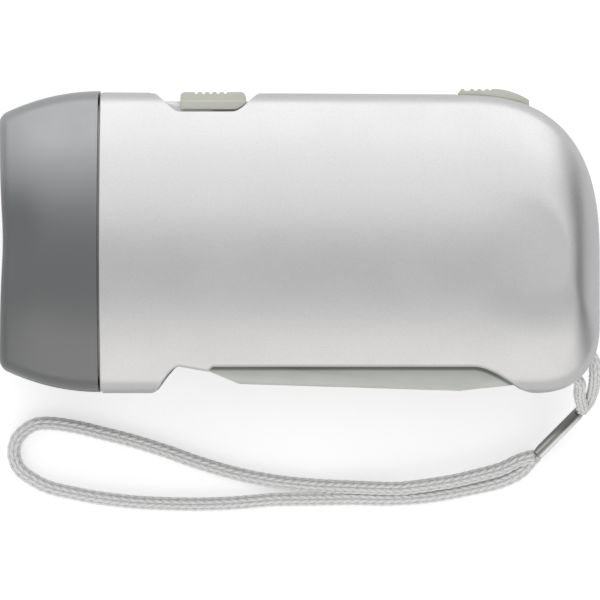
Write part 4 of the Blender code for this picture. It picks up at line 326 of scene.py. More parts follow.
def box(low, high):
    """A block between two corners: its outline carried up and drawn in to its middle at both ends."""
    (x0, y0, z0), (x1, y1, z1) = low, high
    outline = np.array([(x0, y0), (x1, y0), (x1, y1), (x0, y1)], float)
    middle = np.broadcast_to((outline[0] + outline[2]) / 2, outline.shape)
    rows = [(middle, z0), (outline, z0), (outline, z1), (middle, z1)]
    return patch(np.stack([np.column_stack([xy, np.full(4, z)]) for xy, z in rows]), wrap=True)


def smooth_route(points, count):
    """Evenly spaced points of the Catmull-Rom curve through a route's points."""
    route = np.array(points, float)
    ends = np.vstack([2 * route[0] - route[1], route, 2 * route[-1] - route[-2]])
    a, b, c, d = ends[:-3, None], ends[1:-2, None], ends[2:-1, None], ends[3:, None]
    t = np.linspace(0, 1, 24, endpoint=False)[None, :, None]
    fine = (2 * b + (c - a) * t + (2 * a - 5 * b + 4 * c - d) * t**2) / 2
    fine = fine + (3 * b - a - 3 * c + d) * t**3 / 2
    fine = np.vstack([fine.reshape(-1, 3), route[-1]])
    along = np.concatenate([[0], np.cumsum(np.linalg.norm(np.diff(fine, axis=0), axis=1))])
    at = np.linspace(0, along[-1], count)
    return np.stack([np.interp(at, along, fine[:, k]) for k in range(3)], axis=1)


def ease(x, start, end):
    """0 before start, 1 after end, and half a cosine wave between."""
    return (1 - np.cos(np.pi * np.clip((x - start) / (end - start), 0, 1))) / 2


def recess_floor(x, bounds):
    """Height of a recess floor: it falls and rises by half a cosine wave at its ends."""
    front, rear, slope, depth = bounds
    return TOP_Y - depth * ease(x, front, front + slope) * (1 - ease(x, rear - slope, rear))


def slot_height(x):
    """Height of the lever slot's edge, or of the case's own edge outside the slot."""
    front, level, fall, rear = SLOT_X
    rise = ease(x, front, level) * (1 - ease(x, fall, rear))
    dip_start, dip_end, dip = SLOT_DIP
    notch = np.interp(x, [level, dip_start, dip_end], [0, dip, 0], left=0, right=0)
    return BOTTOM_Y + (SLOT_Y - BOTTOM_Y) * rise - notch


def line_at(x, y):
    """Points at the places x and the heights y, or at one height."""
    return np.stack([x, np.broadcast_to(y, x.shape)], axis=1)


def case_lines():
    """The case's outline, the edge of its flat side and the line down its middle, from seam to seam.

    Column i over the top and the same one counted from the other end lie over one another, and
    the middle line runs halfway between their two points.
    """
    shared = [
        SEAM_X + np.array([0, 0.02, 0.07, 0.14, 0.22, 0.32, 0.6, 1.1, 2.0]),
        np.linspace(SEAM_X + 2, TOP_CORNER_X, 66),
        RECESS[0] + np.linspace(0, 1, 12) ** 1.7,
        np.linspace(RECESS[0] + 1, RECESS[0] + 6, 20),
        np.linspace(-12, RECESS[1] - 1, 22),
        RECESS[1] - np.linspace(0, 1, 8) ** 1.7,
        SCOOP[1] - np.linspace(0, 1, 12) ** 1.7,
        SLOT_X[0] + np.linspace(0, 1, 14) ** 2 * 1.4,
        SLOT_DIP[:2],
        corners("lock_slider")[0][0] + LOCK_BED[0] + np.array([-0.6, -0.3, -0.08, 0.08, 0.3]),
    ]
    shared = np.unique(np.round(np.concatenate(shared), 2))
    straight = np.concatenate([shared, np.linspace(TOP_CORNER_X, LOW_CORNER_X, 31)[1:]])
    top_y = TOP_Y - TOP_DROP * ((shared - SEAM_X) / (TOP_CORNER_X - SEAM_X))
    corner_y = TOP_Y - TOP_DROP - TOP_CORNER[1]
    panel_low_y = corner_y - PANEL_CORNER_DROP
    panel_tail_x = TAIL_X - PANEL_TAIL_INSET
    over = round_pair(np.radians(np.linspace(90, 0, 71)[1:]), TOP_CORNER[2])
    under = round_pair(np.radians(np.linspace(90, 0, 41)[1:]), BOTTOM_CORNER[2])

    def line_round(top_y, top_size, low_y, low_centre, low_size):
        top = line_at(TOP_CORNER_X + top_size[0] * over[0], corner_y + top_size[1] * over[1])
        low = line_at(LOW_CORNER_X + low_size[0] * under[0], low_centre - low_size[1] * under[1])
        low = np.vstack([line_at(straight, low_y), low])
        return np.vstack([line_at(shared, top_y), top, low[::-1]])

    edge = line_round(top_y, TOP_CORNER, BOTTOM_Y, BOTTOM_Y + BOTTOM_CORNER[1], BOTTOM_CORNER)
    top_size = (panel_tail_x - TOP_CORNER_X, PANEL_HALF - corner_y)
    low_size = (panel_tail_x - LOW_CORNER_X, PANEL_HALF + panel_low_y)
    panel = line_round(PANEL_HALF, top_size, -PANEL_HALF, panel_low_y, low_size)
    return edge, panel, (panel + panel[::-1]) / 2, len(shared), len(straight)


def crown_table(rise):
    """Section of the crown from the parting plane to the flat side, as three arrays.

    They are a place from 0 to 1, the share drawn in towards the flat side and the height: a
    leaning wall, then a Bezier corner, then a parabola that meets the domed side at its slope.
    """
    end = 2 * rise / PANEL_HALF * CROWN_WIDTH
    climb = MIDDLE - rise - CROWN_LOW

    def arc(share):
        return CROWN_LOW + (2 * climb - end) * share - (climb - end) * share**2

    foot, knee, far = CROWN_WALL
    t = np.linspace(0, 1, 80)
    corner = [(1 - t) ** 2, 2 * t * (1 - t), t**2]
    corner_share = corner[0] * foot + corner[1] * knee + corner[2] * far
    corner_off = corner[0] * (arc(foot) - CROWN_CORNER) + corner[1] * arc(knee) + corner[2] * arc(far)
    arc_share = np.linspace(far, 1, 81)[1:]
    place = np.concatenate([[0], 0.3 + 0.3 * t, np.linspace(0.6, 1, 81)[1:]])
    share = np.concatenate([[0], corner_share, arc_share])
    return place, share, np.concatenate([[0], corner_off, arc(arc_share)])


def section(angle):
    """Unit section of the head: cosine and sine of an angle, bent to the crown and the domed side."""
    place, share, off = crown_table(DOME)
    t = np.linspace(0, 1, 60)[1:]
    along = np.concatenate([0.75 * place, 0.75 + 0.25 * t])
    tall = np.concatenate([TOP_Y - CROWN_WIDTH * share, PANEL_HALF * (1 - t)]) / TOP_Y
    thick = np.concatenate([off, MIDDLE - DOME + DOME * (1 - (1 - t) ** 2)]) / MIDDLE
    turn = np.mod(np.asarray(angle) / (np.pi / 2), 4)
    at = 1 - np.abs(1 - np.mod(turn, 2))
    up = np.where(np.abs(turn - 2) > 1, 1, -1) * np.interp(at, along, tall)
    out = np.where(turn < 2, 1, -1) * np.interp(at, along, thick)
    return up, out


def top_cuts(x, y, on_top, below):
    """Heights that cut the outline: the power slider's floor or the lock slider's bed, and the scoop."""
    lock_x = corners("lock_slider")[0][0]
    bed = ~below & (y > 0) & (x > lock_x + LOCK_BED[0]) & (x < lock_x + LOCK_BED[1])
    floor = np.where(on_top, recess_floor(x, RECESS), np.inf)
    scoop = np.where(on_top, recess_floor(x, SCOOP), np.inf)
    return np.where(bed, y - LOCK_BED[2], floor), scoop


def case_skin(rise):
    """Outer surface of half the case, as rows that run from the parting plane to the middle of its side.

    A column lies in one place of the outline. Its lower rows cross the recess floor, the next
    ones follow the crown, and the last ones a side that is domed by rise.
    """
    edge, panel, spine, top_count, low_count = case_lines()
    place, shares, heights = crown_table(rise)
    x, y = edge.T
    on_top = np.arange(len(x)) < top_count
    below = np.arange(len(x)) >= len(x) - low_count
    platform, scoop = top_cuts(x, y, on_top, below)
    cut_y = np.where(on_top, scoop, np.where(below, slot_height(x), y))
    width = np.maximum(np.abs(y - panel[:, 1]), 1)
    cut = np.interp(np.where(on_top | below, np.abs(y - cut_y) / width, 0), shares, place)
    first = np.interp(GAP / 2, heights, place)
    start = np.where(below, np.maximum(cut, first), first)
    lip = np.maximum(cut, np.interp(LIP_OFF, heights, place))
    off_start, off_lip = np.interp(start, place, heights), np.interp(lip, place, heights)
    off_step = np.clip(np.minimum(PLATFORM_HALF, 0.9 * off_lip), off_start, off_lip)

    near_rim = np.array([0, 0.003, 0.012, 0.022, 0.034, 0.05])[:, None]
    steady = np.linspace(0.12, 0.9, 7)[:, None]
    inner_shares = np.vstack([near_rim, steady, [[0.96], [0.985], [1.0]]])
    outer_shares = np.vstack([[[0.01], [0.025], [0.05]], steady, [[0.95], [0.98], [1.0]]])
    inner = off_start + (off_step - off_start) * inner_shares
    outer = off_step + (off_lip - off_step) * outer_shares
    low_off = np.vstack([inner, outer])
    lower = len(low_off)
    ceiling = np.vstack([np.broadcast_to(platform, inner.shape), np.broadcast_to(scoop, outer.shape)])
    near_lip = [0.001, 0.004, 0.008, 0.013, 0.02, 0.03, 0.045, 0.065]
    climbs = np.concatenate([near_lip, np.linspace(0.09, 1, 40)])
    off = np.vstack([low_off, np.interp(lip + (1 - lip) * climbs[:, None], place, heights)])
    share = np.interp(off, heights, shares)
    across = edge + (panel - edge) * share[..., None]
    across[:lower, :, 1] = np.minimum(across[:lower, :, 1], ceiling)
    fade = 1 - ease(spine[:, 0], TOP_CORNER_X, TAIL_X - PANEL_TAIL_INSET)
    off = off + 2 * rise / PANEL_HALF * CROWN_WIDTH * (1 - fade) * share * (1 - share)
    inwards = np.linspace(0, 1, 9)[1:, None, None]
    side = panel + (spine - panel) * inwards
    side_off = MIDDLE - rise + rise * (1 - (1 - inwards[..., 0]) ** 2) * fade
    grid = np.dstack([np.concatenate([across, side]), np.concatenate([off, side_off])])
    soft = np.zeros(grid.shape[:2] + (1,))
    soft[1 : lower + 5, on_top & (scoop < TOP_Y - 0.02)] = 1.0
    return relax(grid, soft, 3)


def relax(grid, share, passes):
    """Moves points by a share towards the mean of their neighbours along the columns, a few times."""
    for _ in range(passes):
        mean = grid.copy()
        mean[1:-1] = (grid[:-2] + 2 * grid[1:-1] + grid[2:]) / 4
        grid = grid + (mean - grid) * share
    return grid


def grid_normals(grid):
    """Unit normals of a grid: the cross product of its central differences, filled where rows meet."""
    down, along = np.gradient(grid, axis=0), np.gradient(grid, axis=1)
    normal = np.cross(along, down)
    size = np.linalg.norm(normal, axis=2, keepdims=True)
    normal = normal / np.maximum(size, 1e-9)
    for row in range(len(grid) - 2, -1, -1):
        normal[row] = np.where(size[row] > 1e-6, normal[row], normal[row + 1])
    return normal


def shell_of(skin, wall, edge_round):
    """Grids of a closed wall under a skin: the skin with rolled rims, the skin moved inwards, and the rims.

    Within edge_round of a rim, a width for each column, the skin drops by the height of a quarter
    circle. The inner wall follows normals averaged along the columns, so that it doesn't fold.
    """
    normal = grid_normals(skin)
    normal *= np.sign(normal[-4, :, 2].mean())
    normal[-1] = (0, 0, 1)
    step = np.linalg.norm(np.diff(skin, axis=0), axis=2)
    rows = np.concatenate([np.zeros((1, skin.shape[1])), np.cumsum(step, axis=0)])
    distance = np.minimum(rows, skin[..., 0] - SEAM_X)
    short = np.clip(edge_round - distance, 0, edge_round)
    sunk = edge_round - np.sqrt(edge_round**2 - short**2)
    outer = skin - normal * sunk[..., None]
    soft = normal
    for _ in range(10):
        soft = np.concatenate([soft[:1], (soft[:-2] + 2 * soft[1:-1] + soft[2:]) / 4, soft[-1:]])
    inner = skin - soft / np.linalg.norm(soft, axis=2, keepdims=True) * wall
    inner[0, :, 2] = outer[0, :, 2] = skin[0, :, 2]
    inner[:, [0, -1], 0] = outer[:, [0, -1], 0] = SEAM_X
    rims = [np.stack([outer[place], inner[place]]) for place in (0, np.s_[:, 0], np.s_[:, -1])]
    return [outer, inner, *rims]


def head_size(x, inset=0.0):
    """Half height and half thickness of the head at x: a power curve that tapers to the front."""
    share = np.clip((SEAM_X - x) / (SEAM_X - HEAD_FRONT_X), 0, None)
    tall = HEAD_REAR - HEAD_TAPER[0] * share ** HEAD_TAPER[1]
    return tall - inset, tall * HEAD_FLATNESS - inset


def oval(loop, steps=240, turn=(0.0, 2 * math.pi), dimple=0.0):
    """A loop of (x, inset) points carried round the head's superelliptic section.

    A dimple draws the surface in at the middle of each side, most at the front, as a bell curve,
    and the front edge is set back by the square of its height over the middle plane.
    """
    loop = np.array(loop, float)
    whole = abs(turn[1] - turn[0]) > 6.28
    angle = np.linspace(*turn, steps, endpoint=not whole)
    up, out = section(angle)
    tall, thick = head_size(loop[:, 0], loop[:, 1])
    x = np.broadcast_to(loop[:, 0, None], (len(loop), steps))
    y, off = tall[:, None] * up, thick[:, None] * out
    bell = np.exp(-((y / DIMPLE_SIZE) ** 2) - ((x - HEAD_FRONT_X) / DIMPLE_SIZE) ** 2)
    bell = bell * (np.abs(off) > 10)
    off = off - np.sign(off) * dimple * bell
    x = x + DIMPLE_SET_BACK * dimple * bell
    x = x + SET_BACK * (off / MIDDLE) ** 2 * (1 - ease(x, HEAD_FRONT_X, HEAD_FRONT_X + SET_BACK_LENGTH))
    grid = np.stack([x, y, MIDDLE + off], axis=-1)
    return patch(grid, wrap=whole)


def braid(name, route, width, thickness, up, pitch, depth):
    """A flat braided cord along a route: an ellipse with lengthwise rows of slanted stitches.

    A stitch is the product of a half sine wave across its row and a half sine wave along the
    cord, whose phase leans one way in odd rows and the other way in even ones. The point
    attribute "ridge" keeps how high each point stands, from 0 in a groove to 1.
    """
    fine = smooth_route(route, 400)
    length = np.linalg.norm(np.diff(fine, axis=0), axis=1).sum()
    line = smooth_route(route, int(length / CORD_SPACING))
    ahead = np.gradient(line, axis=0)
    ahead /= np.linalg.norm(ahead, axis=1)[:, None]
    side = np.cross(ahead, np.array(up, float))
    side /= np.linalg.norm(side, axis=1)[:, None]
    over = np.cross(side, ahead)
    around = np.linspace(0, 2 * np.pi, CORD_STEPS, endpoint=False)[None]
    along = np.linspace(0, length, len(line))[:, None]
    row = BRAID_ROWS * around / (2 * np.pi)
    lean = np.where(np.floor(row) % 2 == 0, 1, -1) * (row % 1 - 0.5)
    ridge = np.abs(np.sin(np.pi * row)) ** 0.6 * np.abs(np.sin(np.pi * (along / pitch + lean))) ** 0.5
    swell = (ridge - 1) * depth
    across = (width / 2 + swell) * np.cos(around)
    rise = (thickness / 2 + swell) * np.sin(around)
    grid = line[:, None] + side[:, None] * across[..., None] + over[:, None] * rise[..., None]
    stands = np.concatenate([ridge.ravel(), np.zeros(4 * CORD_STEPS)])
    shapes = [patch(grid, wrap=True), cap(grid[0]), cap(grid[-1])]
    return solid(name, shapes, 180, ridge=stands), line, length


# Materials

def dimmed(colour, share):
    """A colour at a share of its brightness."""
    return tuple(share * c for c in colour)


class Coat:
    """A Principled material whose patterns read Object coordinates, and the nodes that make them."""

    def __init__(self, name, colour, roughness, metallic=0.0, **sockets):
        self.material = bpy.data.materials.new(name)
        self.material.use_nodes = True
        self.tree = self.material.node_tree
        self.shader = self.tree.nodes["Principled BSDF"]
        self.colour = (*colour, 1.0)
        self.roughness = roughness
        sockets.update(Base_Color=self.colour, Roughness=roughness, Metallic=metallic)
        for key, value in sockets.items():
            self.shader.inputs[key.replace("_", " ")].default_value = value

    def node(self, kind, *given, **named):
        """Adds a node.

        What is given in order goes to its first inputs. A named value goes to the input of that
        name, with underscores for spaces, or else to the node's own setting.
        """
        node = self.tree.nodes.new(kind)
        for key, value in named.items():
            socket = node.inputs.get(key.replace("_", " "))
            if socket is None:
                setattr(node, key, value)
            else:
                self.feed(value, socket)
        for value, socket in zip(given, node.inputs):
            self.feed(value, socket)
        return node

    def feed(self, value, socket):
        """Links another socket to this one, or sets it to a value."""
        if isinstance(value, bpy.types.NodeSocket):
            self.tree.links.new(value, socket)
        else:
            socket.default_value = value

    def place(self, scale=(1, 1, 1), turn=(0, 0, 0), shift=(0, 0, 0)):
        """Object coordinates, scaled, turned and shifted in this order."""
        seen = self.node("ShaderNodeTexCoord").outputs["Object"]
        return self.node("ShaderNodeMapping", seen, shift, turn, scale, vector_type="POINT").outputs["Vector"]

    def noise(self, size, detail=2.0, stretch=(1, 1, 1)):
        """Noise whose grains are about size millimetres."""
        place = self.place(tuple(s / (size * MM) for s in stretch))
        return self.node("ShaderNodeTexNoise", place, Scale=1.0, Detail=detail, Roughness=0.55).outputs["Fac"]

    def axis(self, name):
        """The X, Y or Z of Object coordinates."""
        return self.node("ShaderNodeSeparateXYZ", self.place()).outputs[name]

    def remap(self, value, *bounds, kind="SMOOTHSTEP"):
        """Maps a value from the range of the first two bounds to that of the last two."""
        return self.node("ShaderNodeMapRange", value, *bounds, interpolation_type=kind).outputs["Result"]

    def spread(self, factor, low, high):
        """Maps a factor of 0.3 to 0.7 onto low to high."""
        return self.remap(factor, 0.3, 0.7, low, high)

    def ramp(self, value, start, end):
        """0 at start to 1 at end, two places in millimetres."""
        low, high = min(start, end) * MM, max(start, end) * MM
        return self.remap(value, low, high, float(start > end), float(start < end))

    def tint(self, factor, colour):
        """Mixes another colour in by a factor, over what the shader already shows."""
        target = self.shader.inputs["Base Color"]
        mix = self.node("ShaderNodeMix", factor, data_type="RGBA")
        self.feed(target.links[0].from_socket if target.is_linked else self.colour, mix.inputs[6])
        self.feed((*colour, 1.0), mix.inputs[7])
        self.feed(mix.outputs[2], target)
        return self

    def shade(self, factor, amount):
        """Darkens by up to amount where a factor of 0.3 to 0.7 is low."""
        return self.tint(self.spread(factor, 1.0, 0.0), dimmed(self.colour[:3], 1 - amount))

    def polish(self, factor, swing):
        """Moves the roughness up by swing where a factor of 0.3 to 0.7 is high, and down where it is low."""
        low, high = self.roughness - swing, self.roughness + swing
        self.feed(self.spread(factor, low, high), self.shader.inputs["Roughness"])
        return self

    def bump(self, factor, depth):
        """Raises the surface by depth millimetres where the factor is high."""
        bump = self.node("ShaderNodeBump", Strength=1.0, Distance=depth * MM, Height=factor)
        target = self.shader.inputs["Normal"]
        if target.is_linked:
            self.feed(target.links[0].from_socket, bump.inputs["Normal"])
        self.feed(bump.outputs["Normal"], target)
        return self

    def grain(self, pattern, shade, polish, bump):
        """Shades, polishes and bumps by one pattern."""
        return self.shade(pattern, shade).polish(pattern, polish).bump(pattern, bump)


def satin_paint(name, colour):
    """Silver paint: fine metallic flakes under a thin clear coat, with slow changes of gloss."""
    coat = Coat(name, colour, 0.38, 0.72, Coat_Weight=0.1, Coat_Roughness=0.3)
    flakes = coat.noise(0.16, 3.0)
    return coat.shade(flakes, 0.1).polish(coat.noise(9.0), 0.03).bump(flakes, 0.004)


def smoky_plastic(name, colour):
    """Tinted clear plastic with a faint haze, and painted shade: a dark patch near the middle of the front on
    each side, and darker from the top down.
    """
    coat = Coat(name, colour, 0.3, 0.45, Transmission_Weight=0.12, IOR=1.49)
    coat.shade(coat.noise(7.0), 0.06).bump(coat.noise(0.5, 3.0), 0.002)
    # Painted shade: a dark patch on each flat side of the head, near the middle of its front
    scale = tuple(1 / (size * MM) for size in FRONT_SHADE_SIZE)
    for height in (0.0, 2 * MIDDLE):
        shift = tuple(-c / size for c, size in zip((*FRONT_SHADE_PLACE, height), FRONT_SHADE_SIZE))
        front_shade = coat.node("ShaderNodeVectorMath", coat.place(scale, shift=shift), operation="LENGTH")
        coat.tint(coat.remap(front_shade.outputs["Value"], 0.25, 1.25, 0.62, 0.0), dimmed(colour, 0.25))
    # Painted shade: the head grows darker from 18 mm over its middle line downwards, and is at half its
    # colour below 3 mm
    return coat.tint(coat.ramp(coat.axis("Y"), 18.0, 3.0), dimmed(colour, 0.5))


def clear_plastic(name, colour):
    """Clear plastic with faint swirls of flow."""
    coat = Coat(name, colour, 0.06, 0.0, Transmission_Weight=0.92, IOR=1.46)
    swirl = coat.noise(6.0, 2.0, (1, 1, 0.4))
    return coat.shade(swirl, 0.03).polish(swirl, 0.02)


def moulded_plastic(name, colour, roughness=0.48):
    """Opaque moulded plastic with a fine spark-eroded grain."""
    coat = Coat(name, colour, roughness)
    grain = coat.noise(0.22, 3.0)
    return coat.shade(coat.noise(5.0, 3.0), 0.05).polish(grain, 0.06).bump(grain, 0.012)


def lever_plastic(name, colour):
    """Moulded plastic with a painted shadow: a dark line that follows the slot's edge while the lever is
    shut.
    """
    coat = moulded_plastic(name, colour)
    # Painted shadow: a dark line on the lever along the slot's edge, falling with that edge towards the tail
    fall = coat.ramp(coat.axis("X"), *SLOT_X[2:])
    drop_y = (SLOT_Y - BOTTOM_Y) * MM
    height = coat.node("ShaderNodeMath", fall, drop_y, coat.axis("Y"), operation="MULTIPLY_ADD").outputs[0]
    below = coat.ramp(height, SLOT_Y - 0.5, SLOT_Y - 0.05)
    above = coat.ramp(height, SLOT_Y + 0.9, SLOT_Y + 0.1)
    line = coat.node("ShaderNodeMath", below, above, operation="MULTIPLY")
    return coat.tint(line.outputs[0], dimmed(colour, 0.35))


def rubber(name, colour):
    """Matt rubber with a powdery surface."""
    coat = Coat(name, colour, 0.8)
    dust = coat.noise(0.35, 4.0)
    return coat.tint(coat.spread(dust, 0.0, 0.25), (0.16, 0.16, 0.16)).bump(dust, 0.02)


def bright_metal(name, colour, roughness, stretch, streak=0.12):
    """Metal with fine drawn streaks, or plain grains where stretch is the same along all axes."""
    coat = Coat(name, colour, roughness, 1.0)
    return coat.grain(coat.noise(0.12, 4.0, stretch), streak, 0.07, 0.003)


def folded_nickel(name, colour, lean):
    """Nickel sheet folded round the cord, with painted reflections: dark and bright stripes along a crimp
    that lies at an angle.
    """
    coat = Coat(name, colour, 0.24, 1.0)
    along = coat.place(turn=(0, 0, -lean))
    sheet = coat.node("ShaderNodeMapping", along, Scale=(20.0, 1 / (0.55 * MM), 60.0)).outputs["Vector"]
    # Painted reflections: stripes along the crimp, darkened by up to three quarters
    painted_stripes = coat.node("ShaderNodeTexNoise", sheet, Scale=1.0, Detail=1.0, Roughness=0.5)
    return coat.grain(painted_stripes.outputs["Fac"], 0.75, 0.08, 0.05)


def mirror_metal(name, colour):
    """Vacuum-coated plastic: a mirror with slow waves."""
    coat = Coat(name, colour, 0.07, 1.0)
    return coat.grain(coat.noise(4.0), 0.03, 0.03, 0.01)


def dark_ferrite(name, colour):
    """Pressed magnet: dark grey grains with small pits."""
    coat = Coat(name, colour, 0.5, 0.4)
    return coat.grain(coat.noise(0.18, 5.0), 0.35, 0.1, 0.02)


def wound_wire(name, colour):
    """Enamelled copper wire wound side by side: a wave across the turns, with painted shade between them."""
    coat = Coat(name, colour, 0.3, 1.0)
    wave = coat.node("ShaderNodeTexWave", Scale=1.0, Distortion=0.4, Detail=1.0, bands_direction="Y")
    coat.feed(coat.place((WAVE_PERIOD / (WIRE_PITCH * MM),) * 3), wave.inputs["Vector"])
    # Painted shade where the wave is low, in the grooves between the turns
    return coat.shade(wave.outputs["Fac"], 0.45).bump(wave.outputs["Fac"], 0.06)


def circuit_board(name, colour):
    """Green solder mask with copper tracks under it and a scatter of tinned joints."""
    coat = Coat(name, colour, 0.35)
    place = coat.place((1 / (1.6 * MM),) * 3, (0.4, 0.5, 0.3))
    track = {"Mortar_Size": 0.06, "Brick_Width": 2.3, "Row_Height": 1.1}
    tracks = coat.node("ShaderNodeTexBrick", place, Scale=1.0, **track)
    coat.tint(tracks.outputs["Fac"], (0.16, 0.42, 0.2))
    joints = coat.node("ShaderNodeTexVoronoi", coat.place((1 / (2.1 * MM),) * 3), Scale=1.0)
    dots = coat.node("ShaderNodeMath", joints.outputs["Distance"], 0.16, operation="LESS_THAN").outputs[0]
    return coat.tint(dots, (0.7, 0.7, 0.68)).polish(coat.noise(3.0), 0.06).bump(dots, 0.05)


def shrink_sleeve(name, colour):
    """Glossy shrink sleeve over the cells, drawn into fine rings."""
    coat = Coat(name, colour, 0.28)
    return coat.grain(coat.noise(0.8, 2.0, (0.1, 0.1, 1)), 0.15, 0.08, 0.03)


def wire_sleeve(name, colour):
    """Soft vinyl insulation with a slight bloom."""
    coat = Coat(name, colour, 0.45)
    bloom = coat.noise(1.2, 3.0)
    return coat.shade(bloom, 0.2).polish(bloom, 0.08).bump(coat.noise(0.2), 0.01)


def woven_yarn(name, colour, shadow):
    """Nylon yarn: fine threads, shadow in the grooves between the stitches, slow changes of warmth."""
    coat = Coat(name, colour, 0.6, Sheen_Weight=0.25, Sheen_Roughness=0.4)
    coat.tint(coat.spread(coat.noise(11.0, 1.0), 0.0, 0.3), (colour[0], colour[1], colour[2] * 0.93))
    ridge = coat.node("ShaderNodeAttribute", attribute_name="ridge").outputs["Fac"]
    coat.tint(coat.remap(ridge, 0.15, 0.75, 0.85, 0.0, kind="LINEAR"), shadow)
    return coat.grain(coat.noise(0.12, 4.0, (0.35, 1, 1)), 0.06, 0.08, 0.03)


def dress(coat, *nodes):
    """Gives CAD nodes their material."""
    for node in nodes:
        mesh = NODES[node].data
        mesh.materials.clear()
        mesh.materials.append(coat.material)


def give(obj, coat, body, *nodes):
    """Gives a new piece its material and body, and lets it take the place of nodes."""
    obj.data.materials.clear()
    obj.data.materials.append(coat.material)
    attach(obj, body)
    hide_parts(*nodes)
    return obj


def bake(obj):
    """Puts an object's modifiers into its mesh."""
    bpy.context.view_layer.update()
    evaluated = obj.evaluated_get(bpy.context.evaluated_depsgraph_get())
    mesh = bpy.data.meshes.new_from_object(evaluated)
    obj.modifiers.clear()
    old = obj.data
    obj.data = mesh
    bpy.data.meshes.remove(old)
    mesh.name = obj.name


def carve(obj, cutters):
    """Takes closed shapes out of a piece."""
    tools = [solid(f"tool_{k}", [shape]) for k, shape in enumerate(cutters)]
    for tool in tools:
        modifier = obj.modifiers.new(tool.name, "BOOLEAN")
        modifier.object = tool
        modifier.operation = "DIFFERENCE"
        modifier.solver = "EXACT"
    bake(obj)
    for tool in tools:
        drop(tool)


def extend(obj, shapes):
    """Adds closed shapes to a piece's mesh."""
    extra = solid("extra", shapes)
    with edited(obj.data) as bm:
        bm.from_mesh(extra.data)
    drop(extra)
    smooth(obj.data, 35)


def soften(node, coat, width):
    """A merged copy of a CAD node with its edges rounded by width, in its place."""
    source = NODES[node]
    mesh = source.data.copy()
    with edited(mesh) as bm:
        bmesh.ops.remove_doubles(bm, verts=bm.verts, dist=1e-6)
        bmesh.ops.dissolve_limit(bm, angle_limit=math.radians(1.0), verts=bm.verts, edges=bm.edges)
    obj = added(node + "_soft", mesh)
    modifier = obj.modifiers.new("edges", "BEVEL")
    modifier.width = width * MM
    modifier.segments = 2
    modifier.limit_method = "ANGLE"
    modifier.angle_limit = math.radians(28)
    bake(obj)
    smooth(obj.data, 40)
    return give(obj, coat, source["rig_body"], node)


# Sizes and colours

class TorchCase(bpy.types.PropertyGroup):
    """Walls and edges of the case and head"""

    wall: bpy.props.FloatProperty(
        name="Wall", description="Thickness of the case's wall in mm", default=1.6)
    dome: bpy.props.FloatProperty(
        name="Dome", description="Rise of the case's flat sides in mm", default=DOME)
    edge: bpy.props.FloatProperty(
        name="Edge round", description="Round of the case's edges in mm", default=0.3)
    slot_edge: bpy.props.FloatProperty(
        name="Slot round", description="Round of the lever slot's edge in mm", default=1.0)
    dimple: bpy.props.FloatProperty(
        name="Dimple", description="Depth of the head's dimples in mm", default=0.9)


class TorchColours(bpy.types.PropertyGroup):
    """Colours of paint, plastic and yarn"""

    silver: bpy.props.FloatVectorProperty(
        name="Silver", description="Paint of the case", subtype="COLOR", default=(0.745, 0.74, 0.738))
    smoke: bpy.props.FloatVectorProperty(
        name="Smoke", description="Tint of the head", subtype="COLOR", default=(0.42, 0.425, 0.43))
    lever: bpy.props.FloatVectorProperty(
        name="Lever", description="Plastic of the lever", subtype="COLOR", default=(0.68, 0.70, 0.66))
    slider: bpy.props.FloatVectorProperty(
        name="Sliders", description="Plastic of the sliders", subtype="COLOR", default=(0.63, 0.63, 0.56))
    yarn: bpy.props.FloatVectorProperty(
        name="Cord", description="Yarn of the cord", subtype="COLOR", default=(0.97, 0.97, 0.97))


class TorchCord(bpy.types.PropertyGroup):
    """Section and braid of the cord"""

    width: bpy.props.FloatProperty(
        name="Width", description="Width of the cord in mm", default=2.5)
    thickness: bpy.props.FloatProperty(
        name="Thickness", description="Thickness of the cord in mm", default=2.2)
    pitch: bpy.props.FloatProperty(
        name="Pitch", description="Length of one stitch in mm", default=1.5)
    depth: bpy.props.FloatProperty(
        name="Depth", description="Depth of the braid's grooves in mm", default=0.28)


class TorchStage(bpy.types.PropertyGroup):
    """Floor and camera"""

    floor: bpy.props.FloatVectorProperty(
        name="Floor", description="Colour of the floor", subtype="COLOR", default=(0.82, 0.82, 0.82))
    lens: bpy.props.FloatProperty(
        name="Lens", description="Focal length of the camera in mm", default=348.0)


# Pieces and operators

def case_half(side, name):
    """Half of the case: its skin, its wall, what is cut from it and the posts inside it."""
    sizes = bpy.context.scene.torch_case
    skin = case_skin(sizes.dome)
    x, y = skin[0, :, 0], skin[0, :, 1]
    in_slot = (y < SLOT_Y + 0.1) & (x < SLOT_X[3])
    lift = np.clip((y - BOTTOM_Y) / 2, 0, 1) * in_slot
    grids = shell_of(skin, sizes.wall, sizes.edge + (sizes.slot_edge - sizes.edge) * lift)
    shell = solid(name, [patch(grid * (1, 1, side) + (0, 0, MIDDLE)) for grid in grids])

    def slot(start, bounds, foot=BELOW):
        x0, x1, y0, y1, top = bounds
        z0, z1 = levels(side, foot, top)
        return box((start + x0, y0, z0), (start + x1, y1, z1))

    pin = middle_of("strap_bar")
    stem_x, lock_x = middle_of("power_slider")[0], corners("lock_slider")[0][0]
    tools = [
        slot(stem_x, STEM_SLOT),
        slot(stem_x, SIDE_NOOK, PLATFORM_HALF + 0.01),
        slot(lock_x, LOCK_SLOT),
        turned(post(EYE_RADIUS, *levels(side, BELOW, EYE_HALF)), (pin[0], pin[1], 0)),
    ]
    if side < 0:
        for screw in CASE_SCREWS:
            screw_x, screw_y, _ = middle_of(screw)
            tools.append(turned(post(WELL_RADIUS, BELOW, WELL_CUT_TOP), (screw_x, screw_y, 0)))
    carve(shell, tools)
    extend(shell, case_bosses(side) + collar(side) + [eye_block(side)])
    return shell


